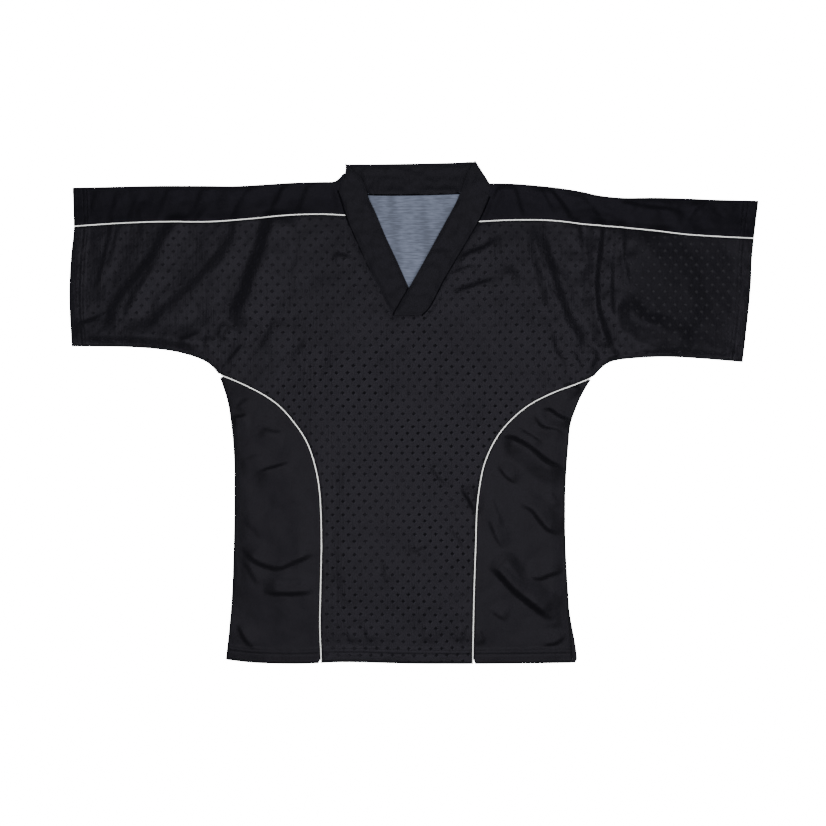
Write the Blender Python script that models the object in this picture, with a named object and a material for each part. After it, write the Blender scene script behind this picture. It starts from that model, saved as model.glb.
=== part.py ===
"""A kickboxing shirt, men's size M, laid flat with its front up. Each cut piece is one closed solid.

The tables and named sizes are millimetres, and MM turns them into Blender's metres. X runs across the
shirt to the viewer's right, Y from the hem to the collar, and Z up from the surface that the shirt lies
on. Left and right are the viewer's. The back lies on the surface, the front lies on the back, and the
shoulder pieces and the collar go round from one to the other.
"""

import math
from collections import namedtuple

import bmesh
import bpy
from mathutils import Vector
from mathutils.geometry import delaunay_2d_cdt, intersect_point_line

MM = 0.001

CLOTH = 1.2  # thickness of one layer
HEM_WIDTH = 17.0
HEM_EXTRA = 0.6  # what the turned hem adds to the front's thickness
COLLAR_CLOTH = 2.0  # the collar strip is cloth and interfacing, folded double
SEAM_GAP = 0.3  # clear space between two pieces that are sewn together
COLLAR_GAP = 0.8  # the same between the collar and the shoulder pieces in front
BACK_COLLAR_GAP = 1.5  # and behind the neck

PIPING_WIDTH = 3.2
PIPING_RISE = 0.9  # how far the piping stands above the cloth beside it
PIPED_SEAM = PIPING_WIDTH / 2 + SEAM_GAP  # from a piped seam's middle to the edge of the cloth

PINNED_GAP = 0.3  # between front and back where a seam holds them together
LOFT = 1.7  # between front and back elsewhere
LOFT_REACH = 26.0
FOLD_GAP = 3.0  # inside the rounded fold along the top of the sleeves
FOLD_REACH = 30.0
LEAST_GAP = 0.3

# The sleeves' top fold and the seams of the shoulder pieces, section by section from left to right.
ShoulderSection = namedtuple("ShoulderSection", "x fold_y front_seam_y back_seam_y")
LEFT_SHOULDER = [
    ShoulderSection(*row)
    for row in (
        (-543, 359.0, 297.3, 297.3),
        (-482, 360.5, 301.5, 301.0),
        (-410, 362.0, 304.5, 304.5),
        (-334, 362.0, 304.5, 309.0),
        (-287, 361.6, 307.0, 315.0),
        (-241, 364.0, 311.2, 322.0),
        (-194, 367.0, 315.4, 330.0),
        (-148, 367.3, 316.8, 340.0),
        (-106, 367.0, 314.7, 349.0),
        (-89, 367.0, 313.5, 353.0),
    )
]
RIGHT_SHOULDER = [
    ShoulderSection(*row)
    for row in (
        (90, 366.0, 304.5, 352.5),
        (104, 366.0, 305.0, 350.0),
        (156, 365.6, 307.4, 339.0),
        (204, 361.8, 307.4, 328.5),
        (238, 357.8, 305.0, 320.0),
        (270, 352.4, 300.8, 311.0),
        (297, 345.5, 298.4, 304.0),
        (335, 342.9, 295.2, 296.5),
        (383, 343.2, 290.4, 290.4),
        (433, 342.0, 284.5, 284.5),
        (481, 340.0, 281.3, 281.3),
        (549, 337.6, 278.0, 278.0),
    )
]

# The body below the armpits: the side edges and the curved seams of the side pieces.
TorsoSection = namedtuple("TorsoSection", "y left_edge left_seam right_seam right_edge")
TORSO = [
    TorsoSection(*row)
    for row in (
        (48, -306.0, -277.0, 264.0, 279.0),
        (30, -300.0, -241.0, 217.0, 268.5),
        (10, -295.0, -213.0, 180.0, 259.5),
        (-18, -291.0, -188.5, 148.5, 250.0),
        (-47, -288.0, -170.0, 127.5, 247.0),
        (-83, -286.0, -157.5, 112.0, 244.0),
        (-120, -286.0, -150.5, 104.5, 242.0),
        (-156, -286.0, -148.0, 100.5, 241.5),
        (-210, -287.0, -147.0, 98.7, 242.0),
        (-283, -289.5, -148.5, 96.2, 246.0),
        (-337, -293.5, -149.5, 95.0, 249.5),
        (-392, -299.5, -147.5, 94.0, 253.0),
    )
]
LEFT_PIT = (-311.0, 62.0)
RIGHT_PIT = (286.0, 57.5)

# Open edges and the seams under the arms, as points x, y.
LEFT_CUFF = ((-543, 359), (-541.5, 297), (-546, 250), (-548.5, 205), (-548, 160), (-545, 106))
RIGHT_CUFF = ((548.6, 337.6), (542, 278), (538.5, 241), (537, 204), (532, 150), (524, 82))
LEFT_UNDERARM = ((-545, 106), (-457, 106), (-399, 102), (-361, 94), (-335, 84), (-321, 74), LEFT_PIT)
RIGHT_UNDERARM = ((524, 82), (465, 87), (407, 90), (369, 89), (330, 86), (311, 81), (298, 71), RIGHT_PIT)
HEM = ((-299.5, -393), (-254, -398), (-182, -399.6), (-110, -397), (4, -399.6), (138, -399.6), (253, -398))
VENT_TOP = -305.0  # below this the side seams are open
BACK_VENT_FLARE = 7.5  # how far the back shows past the front at the foot of the right vent

# The collar strip: its sewn edge, its free edge, and the height of its lower face at each of them.
CollarSection = namedtuple("CollarSection", "seam_x seam_y free_x free_y seam_z free_z")
LEFT_BAND = [
    CollarSection(*row)
    for row in (
        (-33.0, 155.5, 12.0, 155.5, 1.6, 1.5),
        (-52.0, 193.0, -6.5, 196.0, 1.6, 1.5),
        (-72.0, 233.0, -25.5, 239.0, 1.8, 1.5),
        (-90.5, 274.5, -45.0, 281.0, 2.0, 1.6),
        (-105.5, 309.5, -60.0, 317.0, 2.2, 1.8),
        (-114.5, 338.5, -72.0, 343.0, 2.8, 2.6),
        (-120.0, 354.5, -82.5, 372.0, 3.4, 3.3),
        (-123.5, 365.5, -105.5, 395.0, 3.6, 3.6),
    )
]
BACK_BAND = [
    CollarSection(*row)
    for row in (
        (-101.5, 356.0, -82.5, 396.0, 0.0, 0.0),
        (-73.0, 348.0, -66.5, 396.0, 0.0, 0.0),
        (1.0, 347.5, -2.5, 397.0, 0.0, 0.0),
        (74.5, 350.0, 66.5, 398.5, 0.0, 0.0),
        (103.0, 354.5, 84.0, 399.5, 0.0, 0.0),
    )
]
RIGHT_BAND = [
    CollarSection(*row)
    for row in (
        (124.0, 361.5, 98.0, 400.0, 3.6, 3.6),
        (120.0, 345.0, 86.5, 383.0, 3.4, 3.4),
        (114.5, 330.5, 78.5, 362.5, 2.8, 2.8),
        (102.5, 305.5, 66.5, 333.5, 2.2, 2.6),
        (77.5, 263.0, 43.0, 290.5, 2.0, 3.0),
        (48.0, 213.5, 10.5, 231.0, 2.2, 3.9),
        (26.5, 172.0, -15.0, 186.5, 3.9, 3.9),
        (12.0, 155.5, -33.0, 155.5, 3.9, 3.9),
    )
]
# x of the left and right cuff at the front seam, the fold and the back seam of the shoulder pieces
CUFF_ENDS = ((-541.5, -543.0, -541.5), (542.0, 548.6, 542.0))
# x of the left and right shoulder pieces' neck ends at the fold and at their seams
FOLD_NECKS = (-124.8, 130.0)
SEAM_NECKS = {"front_seam_y": (-107.0, 102.6), "back_seam_y": (-90.5, 91.5)}

COLLAR_FOLD = 2.8  # outer radius where the collar turns from the front to the back
COLLAR_ROWS = 4  # points across the strip
COLLAR_STEP = 15.0
FOLD_TURNS = 5  # points round each fold

# The largest folds of the front: a ridge from start to end with a shallow trough beside it. A positive
# bow bends the fold's middle to the left of the way from start to end.
Fold = namedtuple("Fold", "start_x start_y end_x end_y bow half_width height")
FOLDS = [
    Fold(*row)
    for row in (
        (-241, 298, -312, 119, -9, 17, 3.6),
        (-399, 286, -479, 129, 8, 16, 3.2),
        (-294, 268, -417, 140, -10, 16, 3.0),
        (-482, 289, -512, 190, -4, 12, 2.0),
        (-484, 162, -532, 146, 5, 10, 2.2),
        (-330, 133, -376, 114, -4, 11, 2.2),
        (-268, 118, -290, 74, 0, 10, 2.0),
        (-222, 165, -233, 115, 3, 12, 2.0),
        (204, 284, 268, 112, 12, 15, 3.4),
        (298, 240, 314, 106, 9, 14, 4.6),
        (325, 250, 333, 180, 6, 12, 2.4),
        (348, 164, 432, 128, 8, 14, 2.8),
        (287, 114, 272, 66, -3, 9, 2.2),
        (226, 120, 245, 72, 3, 10, 2.2),
        (219, 354, 262, 309, 5, 12, 2.2),
        (322, 340, 436, 308, 8, 13, 2.6),
        (160, 284, 72, 229, 6, 13, 2.8),
        (146, 219, 70, 193, -4, 13, 2.2),
        (74, -114, 98, -174, -4, 9, 2.8),
        (-258, -97, -180, -77, -4, 11, 2.4),
        (-272, -210, -150, -222, -24, 12, 2.8),
        (-245, -281, -150, -287, -5, 12, 2.8),
        (-281, -338, -250, -378, -4, 10, 2.0),
        (188, -1, 252, -18, 5, 10, 2.6),
        (132, -38, 240, -95, 7, 13, 3.8),
        (122, -84, 165, -121, 5, 10, 2.0),
        (160, -146, 236, -198, 6, 12, 2.8),
        (110, -243, 218, -334, 7, 15, 3.8),
        (170, -262, 240, -250, -9, 10, 2.2),
        (192, -369, 241, -351, -4, 10, 2.0),
    )
]
TROUGH_SHARE = 0.4  # the trough's depth as a share of the ridge's height
TROUGH_SHIFT = 1.3  # how far beside the ridge it lies, in half widths
TAPER = 0.28  # share of its length over which a fold's end fades out
FOLD_POINT_STEP = 20.0

GRID_STEP = 32.0  # spacing of the points inside a front piece
BACK_GRID_STEP = 90.0
EDGE_STEP = 15.0

# Finish of each cloth: colour (linear red, green, blue) and roughness.
Finish = namedtuple("Finish", "colour roughness")
FINISHES = {
    "jacquard_polyester": Finish((0.013, 0.013, 0.017), 0.55),
    "plain_polyester": Finish((0.010, 0.010, 0.014), 0.5),
    "collar_polyester": Finish((0.009, 0.009, 0.012), 0.6),
    "piping_white": Finish((0.80, 0.80, 0.79), 0.5),
}


# Curves and distances in the plane of the cloth


def smooth_path(knots, step):
    """Points about step apart on a smooth curve through the knots, which may hold more than x and y."""
    knots = [Vector(k) for k in knots]
    ends = [2 * knots[0] - knots[1], *knots, 2 * knots[-1] - knots[-2]]
    path = []
    for before, start, end, after in zip(ends, ends[1:], ends[2:], ends[3:]):
        count = max(1, round((end - start).to_2d().length / step))
        for i in range(count):
            t = i / count
            path.append(
                start
                + 0.5 * t * (end - before)
                + t * t * (before - 2.5 * start + 2 * end - 0.5 * after)
                + t * t * t * (1.5 * start - 0.5 * before - 1.5 * end + 0.5 * after)
            )
    return [*path, knots[-1]]


def offset_path(path, distance):
    """The path moved sideways, to the left of its direction for a positive distance."""
    moved = []
    for i, point in enumerate(path):
        along = (path[min(i + 1, len(path) - 1)] - path[max(i - 1, 0)]).normalized()
        moved.append(point + distance * Vector((-along.y, along.x)))
    return moved


def trimmed(path, start, end):
    """The path with a length cut off each end."""
    for _ in range(2):
        left = start
        while left > (path[1] - path[0]).length:
            left -= (path[1] - path[0]).length
            path = path[1:]
        path = [path[0] + left * (path[1] - path[0]).normalized(), *path[1:]]
        path = path[::-1]
        start = end
    return path


def distance_to_path(path, point):
    nearest = math.inf
    for start, end in zip(path, path[1:]):
        on_line, share = intersect_point_line(point, start, end)
        share = min(max(share, 0.0), 1.0)
        nearest = min(nearest, (point - start.lerp(end, share)).length)
    return nearest


def smoothstep(share):
    share = min(max(share, 0.0), 1.0)
    return share * share * (3 - 2 * share)


def table_path(table, across, along, step=EDGE_STEP):
    """A smooth curve through one column of a table, given the names of its x and y columns."""
    return smooth_path([(getattr(row, across), getattr(row, along)) for row in table], step)


def interpolate(path, x):
    """The y of a path that runs from low x to high x."""
    for start, end in zip(path, path[1:]):
        if x <= end.x:
            break
    share = (x - start.x) / (end.x - start.x)
    return start.y + share * (end.y - start.y)


LEFT_EDGE = smooth_path([LEFT_PIT, *((row.left_edge, row.y) for row in TORSO)], EDGE_STEP)
RIGHT_EDGE = smooth_path([RIGHT_PIT, *((row.right_edge, row.y) for row in TORSO)], EDGE_STEP)
LEFT_SIDE_SEAM = smooth_path([LEFT_PIT, *((row.left_seam, row.y) for row in TORSO)], EDGE_STEP)
RIGHT_SIDE_SEAM = smooth_path([RIGHT_PIT, *((row.right_seam, row.y) for row in TORSO)], EDGE_STEP)
LEFT_ARM_SEAM = smooth_path(LEFT_UNDERARM, EDGE_STEP)
RIGHT_ARM_SEAM = smooth_path(RIGHT_UNDERARM, EDGE_STEP)
HEM_EDGE = smooth_path(HEM, EDGE_STEP)
LEFT_CUFF_EDGE = smooth_path(LEFT_CUFF, EDGE_STEP)
RIGHT_CUFF_EDGE = smooth_path(RIGHT_CUFF, EDGE_STEP)
COLLAR_LEFT_SEAM = table_path(LEFT_BAND, "seam_x", "seam_y")
COLLAR_RIGHT_SEAM = table_path(RIGHT_BAND, "seam_x", "seam_y")
CLOSED_SEAMS = (
    LEFT_ARM_SEAM,
    RIGHT_ARM_SEAM,
    [p for p in LEFT_EDGE if p.y > VENT_TOP],
    [p for p in RIGHT_EDGE if p.y > VENT_TOP],
)
OPEN_EDGES = (HEM_EDGE, LEFT_CUFF_EDGE, RIGHT_CUFF_EDGE)


# Heights of the front above the back


def bump(share):
    return (1 - share * share) ** 2 if abs(share) < 1 else 0.0


def fold_place(fold, x, y):
    """Where a point lies on a fold: its share of the length, and its distance beside it in half widths."""
    start = Vector((fold.start_x, fold.start_y))
    along = Vector((fold.end_x, fold.end_y)) - start
    length = along.length
    along.normalize()
    to_point = Vector((x, y)) - start
    share = to_point.dot(along) / length
    beside = along.x * to_point.y - along.y * to_point.x
    bowed = beside - 4 * fold.bow * share * (1 - share)
    return share, bowed / fold.half_width


def relief(x, y):
    """How far the folds lift the cloth at a point, or lower it where negative."""
    height = 0.0
    for fold in FOLDS:
        share, beside = fold_place(fold, x, y)
        if 0 < share < 1 and abs(beside) < TROUGH_SHIFT + 1:
            fade = smoothstep(share / TAPER) * smoothstep((1 - share) / TAPER)
            wave = bump(beside) - TROUGH_SHARE * bump(beside - TROUGH_SHIFT)
            height += fold.height * fade * wave
    return height


def air_gap(x, y):
    """Clear height between the back and the front: pressed flat at closed seams, with folds elsewhere."""
    point = Vector((x, y))
    inside = min(distance_to_path(seam, point) for seam in CLOSED_SEAMS)
    free = smoothstep(inside / LOFT_REACH)
    return max(PINNED_GAP + free * (LOFT - PINNED_GAP + relief(x, y)), LEAST_GAP)


def front_underside(x, y):
    return CLOTH + air_gap(x, y)


def front_thickness(x, y):
    """One layer, and a little more where the edge is turned up as a hem."""
    point = Vector((x, y))
    to_edge = min(distance_to_path(edge, point) for edge in OPEN_EDGES)
    return CLOTH + (HEM_EXTRA if to_edge < HEM_WIDTH else 0.0)


# Solids


def finish_object(name, mesh, finish):
    """Makes the object of a bmesh, with its own material."""
    bmesh.ops.recalc_face_normals(mesh, faces=mesh.faces)
    data = bpy.data.meshes.new(name)
    mesh.to_mesh(data)
    mesh.free()
    data.shade_smooth()
    data.set_sharp_from_angle(angle=math.radians(40))
    material = bpy.data.materials.new(f"{name}_{finish}")
    material.use_nodes = True
    shader = material.node_tree.nodes["Principled BSDF"]
    shader.inputs["Base Color"].default_value = (*FINISHES[finish].colour, 1.0)
    shader.inputs["Roughness"].default_value = FINISHES[finish].roughness
    shader.inputs["Metallic"].default_value = 0.0
    data.materials.append(material)
    made = bpy.data.objects.new(name, data)
    bpy.context.scene.collection.objects.link(made)
    return made


def sheet_solid(name, over, under, finish):
    """A closed solid from the two faces of a strip of cloth, each a grid of points of the same size."""
    mesh = bmesh.new()
    top = [[mesh.verts.new(Vector(p) * MM) for p in row] for row in over]
    low = [[mesh.verts.new(Vector(p) * MM) for p in row] for row in under]
    last_row, last_column = len(top) - 1, len(top[0]) - 1
    for i in range(last_row):
        for j in range(last_column):
            mesh.faces.new((top[i][j], top[i + 1][j], top[i + 1][j + 1], top[i][j + 1]))
            mesh.faces.new((low[i][j], low[i][j + 1], low[i + 1][j + 1], low[i + 1][j]))
    for i in range(last_row):
        for j in (0, last_column):
            mesh.faces.new((top[i][j], top[i + 1][j], low[i + 1][j], low[i][j]))
    for j in range(last_column):
        for i in (0, last_row):
            mesh.faces.new((top[i][j], top[i][j + 1], low[i][j + 1], low[i][j]))
    return finish_object(name, mesh, finish)


def fold_points():
    """Points along each fold's ridge, its two flanks and its trough, so that the mesh can follow it."""
    points = []
    for fold in FOLDS:
        start = Vector((fold.start_x, fold.start_y))
        along = Vector((fold.end_x, fold.end_y)) - start
        across = Vector((-along.y, along.x)).normalized()
        count = max(3, round(along.length / FOLD_POINT_STEP))
        for i in range(count + 1):
            share = i / count
            middle = start + share * along + 4 * fold.bow * share * (1 - share) * across
            for beside in (-1.0, -0.45, 0.0, 0.5, TROUGH_SHIFT, TROUGH_SHIFT + 0.9):
                points.append(middle + beside * fold.half_width * across)
    return points


def hem_points():
    """A double row of points along the stitching of each hem, where the cloth's thickness steps."""
    points = []
    for edge, inwards in ((HEM_EDGE, 1), (LEFT_CUFF_EDGE, 1), (RIGHT_CUFF_EDGE, -1)):
        for inset in (HEM_WIDTH - 1.0, HEM_WIDTH + 1.0):
            points += offset_path(edge, inwards * inset)
    return points


def inner_points(boundary, step, guides, least):
    """The guide points that lie clear of the boundary, and an even grid that fills the space between."""
    closed = [*boundary, boundary[0]]
    low_x, high_x = min(p.x for p in boundary), max(p.x for p in boundary)
    low_y, high_y = min(p.y for p in boundary), max(p.y for p in boundary)
    kept = []
    for point in guides:
        in_box = low_x < point.x < high_x and low_y < point.y < high_y
        if in_box and all((point - other).length > least for other in kept):
            if distance_to_path(closed, point) > least:
                kept.append(point)
    row_height = step * math.sqrt(3) / 2
    for row in range(math.ceil((high_y - low_y) / row_height)):
        for column in range(math.ceil((high_x - low_x) / step)):
            point = Vector((low_x + step * (column + 0.5 * (row % 2)), low_y + row * row_height))
            if all((point - other).length > 0.6 * step for other in kept):
                if distance_to_path(closed, point) > 0.45 * step:
                    kept.append(point)
    return kept


def panel_solid(name, boundary, underside, thickness, step, guides, finish):
    """A cut piece: its outline filled with triangles, lifted to its height and given its wall."""
    boundary = [Vector(p).to_2d() for p in boundary]
    inside = inner_points(boundary, step, guides, least=6.5)
    outline = list(range(len(boundary)))
    points, _, triangles, *_ = delaunay_2d_cdt(boundary + inside, [], [outline], 1, 1e-4)
    used = sorted({index for triangle in triangles for index in triangle})
    mesh = bmesh.new()
    corner = {}
    for index in used:
        x, y = points[index]
        corner[index] = mesh.verts.new(Vector((x, y, underside(x, y))) * MM)
    faces = [mesh.faces.new([corner[index] for index in triangle]) for triangle in triangles]
    raised = bmesh.ops.extrude_face_region(mesh, geom=faces, use_keep_orig=True)
    for vertex in raised["geom"]:
        if isinstance(vertex, bmesh.types.BMVert):
            vertex.co.z += thickness(vertex.co.x / MM, vertex.co.y / MM) * MM
    return finish_object(name, mesh, finish)


# Shoulder pieces, each one strip that goes over the top of a sleeve from the front seam to the back seam

FRONT_ROWS = 6
ROUND_ROWS = 5
BACK_ROWS = 3
SHOULDER_STATIONS = 21


def shoulder_section(share, shoulder, curves):
    """One section across a shoulder piece, from the front seam to the back seam: outer and inner points.

    share runs from 0 at the cuff to 1 at the collar.
    """
    front_seam, fold, back_seam = curves
    front_cuff, fold_cuff, back_cuff = CUFF_ENDS[0] if shoulder is LEFT_SHOULDER else CUFF_ENDS[1]
    front_edge, back_edge, fold_neck = neck_end(shoulder)
    outer_radius = CLOTH + FOLD_GAP / 2
    inner_radius = FOLD_GAP / 2

    def place(up, cuff_x, collar_edge, seam):
        """A point of the flat front or back: up is 0 at its seam and 1 where the fold begins."""

        def height(x):
            low, high = interpolate(seam, x) + PIPED_SEAM, interpolate(fold, x) - outer_radius
            return low + up * (high - low)

        neck_x = meeting_x(collar_edge, height, 0.5 * fold_neck, 1.1 * fold_neck) if up < 1 else fold_neck
        x = cuff_x + share * (neck_x - cuff_x)
        return x, height(x)

    over, under = [], []
    for row in range(FRONT_ROWS):
        up = row / (FRONT_ROWS - 1)
        x, y = place(up, front_cuff + up * (fold_cuff - front_cuff), front_edge, front_seam)
        near_fold = smoothstep(1 - (interpolate(fold, x) - y) / FOLD_REACH)
        gap = air_gap(x, y)
        gap += near_fold * (FOLD_GAP - gap)
        over.append((x, y, CLOTH + gap + front_thickness(x, y)))
        under.append((x, y, CLOTH + gap))
    x = fold_cuff + share * (fold_neck - fold_cuff)
    centre_y, centre_z = interpolate(fold, x) - outer_radius, CLOTH + FOLD_GAP / 2
    extra = over[-1][2] - under[-1][2] - CLOTH
    for row in range(1, ROUND_ROWS):
        angle = math.pi / 2 - math.pi * row / ROUND_ROWS
        outer = outer_radius + extra * max(math.sin(angle), 0.0)
        over.append((x, centre_y + outer * math.cos(angle), centre_z + outer * math.sin(angle)))
        inner_y, inner_z = inner_radius * math.cos(angle), inner_radius * math.sin(angle)
        under.append((x, centre_y + inner_y, centre_z + inner_z))
    for row in range(BACK_ROWS):
        up = 1 - row / (BACK_ROWS - 1)
        x, y = place(up, back_cuff + up * (fold_cuff - back_cuff), back_edge, back_seam)
        over.append((x, y, 0.0))
        under.append((x, y, CLOTH))
    return over, under


def meeting_x(edge, height, inside, outside):
    """Where a row at the given height meets the collar's edge, between an x in the collar and one outside."""
    for _ in range(24):
        middle = (inside + outside) / 2
        if interpolate(edge, middle) < height(middle):
            inside = middle
        else:
            outside = middle
    return outside


def neck_end(shoulder):
    """Where a shoulder piece meets the collar: the line on the front, that on the back, and the fold's x."""
    if shoulder is LEFT_SHOULDER:
        front = offset_path(COLLAR_LEFT_SEAM, COLLAR_GAP)[::-1]
        corner = inset_corner(LEFT_BAND[-1], other_way=False)[0]
        back = [corner, *(Vector((row.seam_x, row.seam_y)) for row in BACK_BAND[:3])]
        fold_neck = FOLD_NECKS[0]
    else:
        front = offset_path(COLLAR_RIGHT_SEAM, COLLAR_GAP)[::-1]
        corner = inset_corner(RIGHT_BAND[0], other_way=True)[0]
        back = [*(Vector((row.seam_x, row.seam_y)) for row in BACK_BAND[2:]), corner]
        fold_neck = FOLD_NECKS[1]
    return front, offset_path(smooth_path(back, EDGE_STEP), -BACK_COLLAR_GAP), fold_neck


def shoulder_piece(name, shoulder):
    curves = [table_path(shoulder, "x", column) for column in ("front_seam_y", "fold_y", "back_seam_y")]
    sections = []
    for station in range(SHOULDER_STATIONS + 1):
        sections.append(shoulder_section(station / SHOULDER_STATIONS, shoulder, curves))
    over, under = zip(*sections)
    return sheet_solid(name, over, under, "plain_polyester")


# The collar, one folded strip from its end under the crossing, round the neck, to its end on top


def band_sections(band, step):
    """Sections of a flat stretch of the collar: pairs of seam point and free point, with their heights."""
    seam = smooth_path([(row.seam_x, row.seam_y, row.seam_z) for row in band], step)
    shares = [0.0]
    for start, end in zip(seam, seam[1:]):
        shares.append(shares[-1] + (end - start).to_2d().length)
    knots = smooth_path([(row.free_x, row.free_y, row.free_z) for row in band], step / 6)
    lengths = [0.0]
    for start, end in zip(knots, knots[1:]):
        lengths.append(lengths[-1] + (end - start).to_2d().length)
    free = []
    for share in shares:
        wanted = share / shares[-1] * lengths[-1]
        index = next(i for i, length in enumerate(lengths) if length >= wanted - 1e-9)
        free.append(knots[index])
    return list(zip(seam, free))


def inset_corner(row, other_way):
    """The collar's corner, drawn in by the fold's radius, and the direction in which the fold bulges."""
    seam, free = Vector((row.seam_x, row.seam_y)), Vector((row.free_x, row.free_y))
    along = (free - seam).normalized()
    outwards = Vector((along.y, -along.x)) if other_way else Vector((-along.y, along.x))
    return seam - COLLAR_FOLD * outwards, free - COLLAR_FOLD * outwards, outwards


def collar():
    left_seam, left_free, left_out = inset_corner(LEFT_BAND[-1], other_way=False)
    right_seam, right_free, right_out = inset_corner(RIGHT_BAND[0], other_way=True)
    top_z = LEFT_BAND[-1].seam_z
    left_corner = CollarSection(*left_seam, *left_free, top_z, top_z)
    right_corner = CollarSection(*right_seam, *right_free, top_z, top_z)
    low_corners = [row._replace(seam_z=0.0, free_z=0.0) for row in (left_corner, right_corner)]

    def line(seam, free, seam_z, free_z):
        points = []
        for j in range(COLLAR_ROWS):
            share = j / (COLLAR_ROWS - 1)
            flat = seam.to_2d().lerp(free.to_2d(), share)
            points.append(Vector((flat.x, flat.y, seam_z + share * (free_z - seam_z))))
        return points

    over, under = [], []

    def add_front(sections):
        for seam, free in sections:
            under.append(line(seam, free, seam.z, free.z))
            over.append(line(seam, free, seam.z + COLLAR_CLOTH, free.z + COLLAR_CLOTH))

    def add_fold(seam, free, outwards, angles):
        for angle in angles:
            for grid, radius in ((over, COLLAR_FOLD), (under, COLLAR_FOLD - COLLAR_CLOTH)):
                aside = radius * math.cos(angle) * outwards
                z = COLLAR_FOLD + radius * math.sin(angle)
                grid.append(line(seam + aside, free + aside, z, z))

    turn = [math.pi / 2 - math.pi * i / FOLD_TURNS for i in range(1, FOLD_TURNS)]
    add_front(band_sections([*LEFT_BAND[:-1], left_corner], COLLAR_STEP))
    add_fold(left_seam, left_free, left_out, turn)
    for seam, free in band_sections([low_corners[0], *BACK_BAND, low_corners[1]], 1.6 * COLLAR_STEP):
        over.append(line(seam, free, 0.0, 0.0))
        under.append(line(seam, free, COLLAR_CLOTH, COLLAR_CLOTH))
    add_fold(right_seam, right_free, right_out, turn[::-1])
    add_front(band_sections([right_corner, *RIGHT_BAND[1:]], COLLAR_STEP))
    return sheet_solid("collar", over, under, "collar_polyester")


# Piping, a corded strip caught in a seam


def piping(name, path, floor_height, rises):
    """A strip along a seam. On the front it is rounded and stands proud, and on the back it lies flush."""
    half = PIPING_WIDTH / 2
    if rises:
        profile = ((-1.0, CLOTH), (0.0, CLOTH + PIPING_RISE), (1.0, CLOTH))
    else:
        profile = ((-1.0, CLOTH), (1.0, CLOTH))
    over, under = [], []
    sides = [(aside, top, offset_path(path, aside * half)) for aside, top in profile]
    for i, middle in enumerate(path):
        bottom = floor_height(middle.x, middle.y)
        over.append([(*side[i], bottom + top) for _, top, side in sides])
        under.append([(*side[i], bottom) for _, _, side in sides])
    return sheet_solid(name, over, under, "piping_white")


# Outlines of the flat pieces


def hem_between(low_x, high_x):
    inner = [p for p in HEM_EDGE if low_x + 3 < p.x < high_x - 3]
    first = Vector((low_x, interpolate(HEM_EDGE, low_x)))
    last = Vector((high_x, interpolate(HEM_EDGE, high_x)))
    return [first, *inner, last]


def body_outline(left_shoulder_seam, neckline, right_shoulder_seam):
    """The T of a front or back: shoulder seams, neckline, cuffs, underarms, side seams and hem."""
    left_seam = offset_path(LEFT_SIDE_SEAM, PIPED_SEAM)
    right_seam = offset_path(RIGHT_SIDE_SEAM, -PIPED_SEAM)
    return [
        *offset_path(left_shoulder_seam, -PIPED_SEAM),
        *neckline,
        *offset_path(right_shoulder_seam, -PIPED_SEAM),
        *[p for p in RIGHT_CUFF_EDGE if p.y < right_shoulder_seam[-1].y - 6][:-1],
        *trimmed(RIGHT_ARM_SEAM, 0.0, 1.5),
        *right_seam,
        *hem_between(left_seam[-1].x, right_seam[-1].x)[::-1],
        *left_seam[::-1],
        *trimmed(LEFT_ARM_SEAM, 0.0, 1.5)[::-1],
        *[p for p in LEFT_CUFF_EDGE if p.y < left_shoulder_seam[0].y - 6][:-1][::-1],
    ]


def side_outline(edge, seam, outwards):
    """A side piece: its outer edge, its hem and its curved seam. outwards is -1 on the left."""
    edge = trimmed(edge, 6.0, 0.0)
    seam = trimmed(offset_path(seam, PIPED_SEAM * outwards), 8.0, 0.0)
    low_x, high_x = sorted((edge[-1].x, seam[-1].x))
    hem = hem_between(low_x, high_x)
    return [*edge, *(hem if outwards < 0 else hem[::-1]), *seam[::-1]]


def flared(edge, flare):
    """The back's edge, which spreads out below the top of the vent."""
    foot = edge[-1].y
    spread = []
    for point in edge:
        share = max(VENT_TOP - point.y, 0.0) / (VENT_TOP - foot)
        spread.append(point + Vector((flare * smoothstep(share), 0.0)))
    return spread


def shoulder_seams(column):
    """The seams of both shoulder pieces on one side of the shirt, cut off where the collar covers them."""
    left = table_path(LEFT_SHOULDER, "x", column)
    right = table_path(RIGHT_SHOULDER, "x", column)
    left_neck, right_neck = SEAM_NECKS[column]
    left_cuff, right_cuff = CUFF_ENDS[0][0], CUFF_ENDS[1][0]
    left = [p for p in left if left_cuff + 4 < p.x < left_neck - 4]
    right = [p for p in right if right_neck + 4 < p.x < right_cuff - 4]
    curves = [table_path(table, "x", column) for table in (LEFT_SHOULDER, RIGHT_SHOULDER)]
    left = [
        Vector((left_cuff, interpolate(curves[0], left_cuff))),
        *left,
        Vector((left_neck, interpolate(curves[0], left_neck))),
    ]
    right = [
        Vector((right_neck, interpolate(curves[1], right_neck))),
        *right,
        Vector((right_cuff, interpolate(curves[1], right_cuff))),
    ]
    return left, right


def front_neckline(left_seam, right_seam):
    """Along the collar's sewn edge, from the left shoulder seam down to the crossing and up again."""
    down = offset_path(COLLAR_LEFT_SEAM, SEAM_GAP)[::-1]
    up = offset_path(COLLAR_RIGHT_SEAM, SEAM_GAP)[::-1]
    foot_y = LEFT_BAND[0].seam_y - SEAM_GAP
    down = [p for p in down if foot_y + 3 < p.y < left_seam[-1].y - PIPED_SEAM - 3]
    up = [p for p in up if foot_y + 3 < p.y < right_seam[0].y - PIPED_SEAM - 3]
    left_foot = Vector((LEFT_BAND[0].seam_x - SEAM_GAP, foot_y))
    right_foot = Vector((RIGHT_BAND[-1].seam_x + SEAM_GAP, foot_y))
    middle = (left_foot + right_foot) / 2
    return [*down, left_foot, middle, right_foot, *up]


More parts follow.
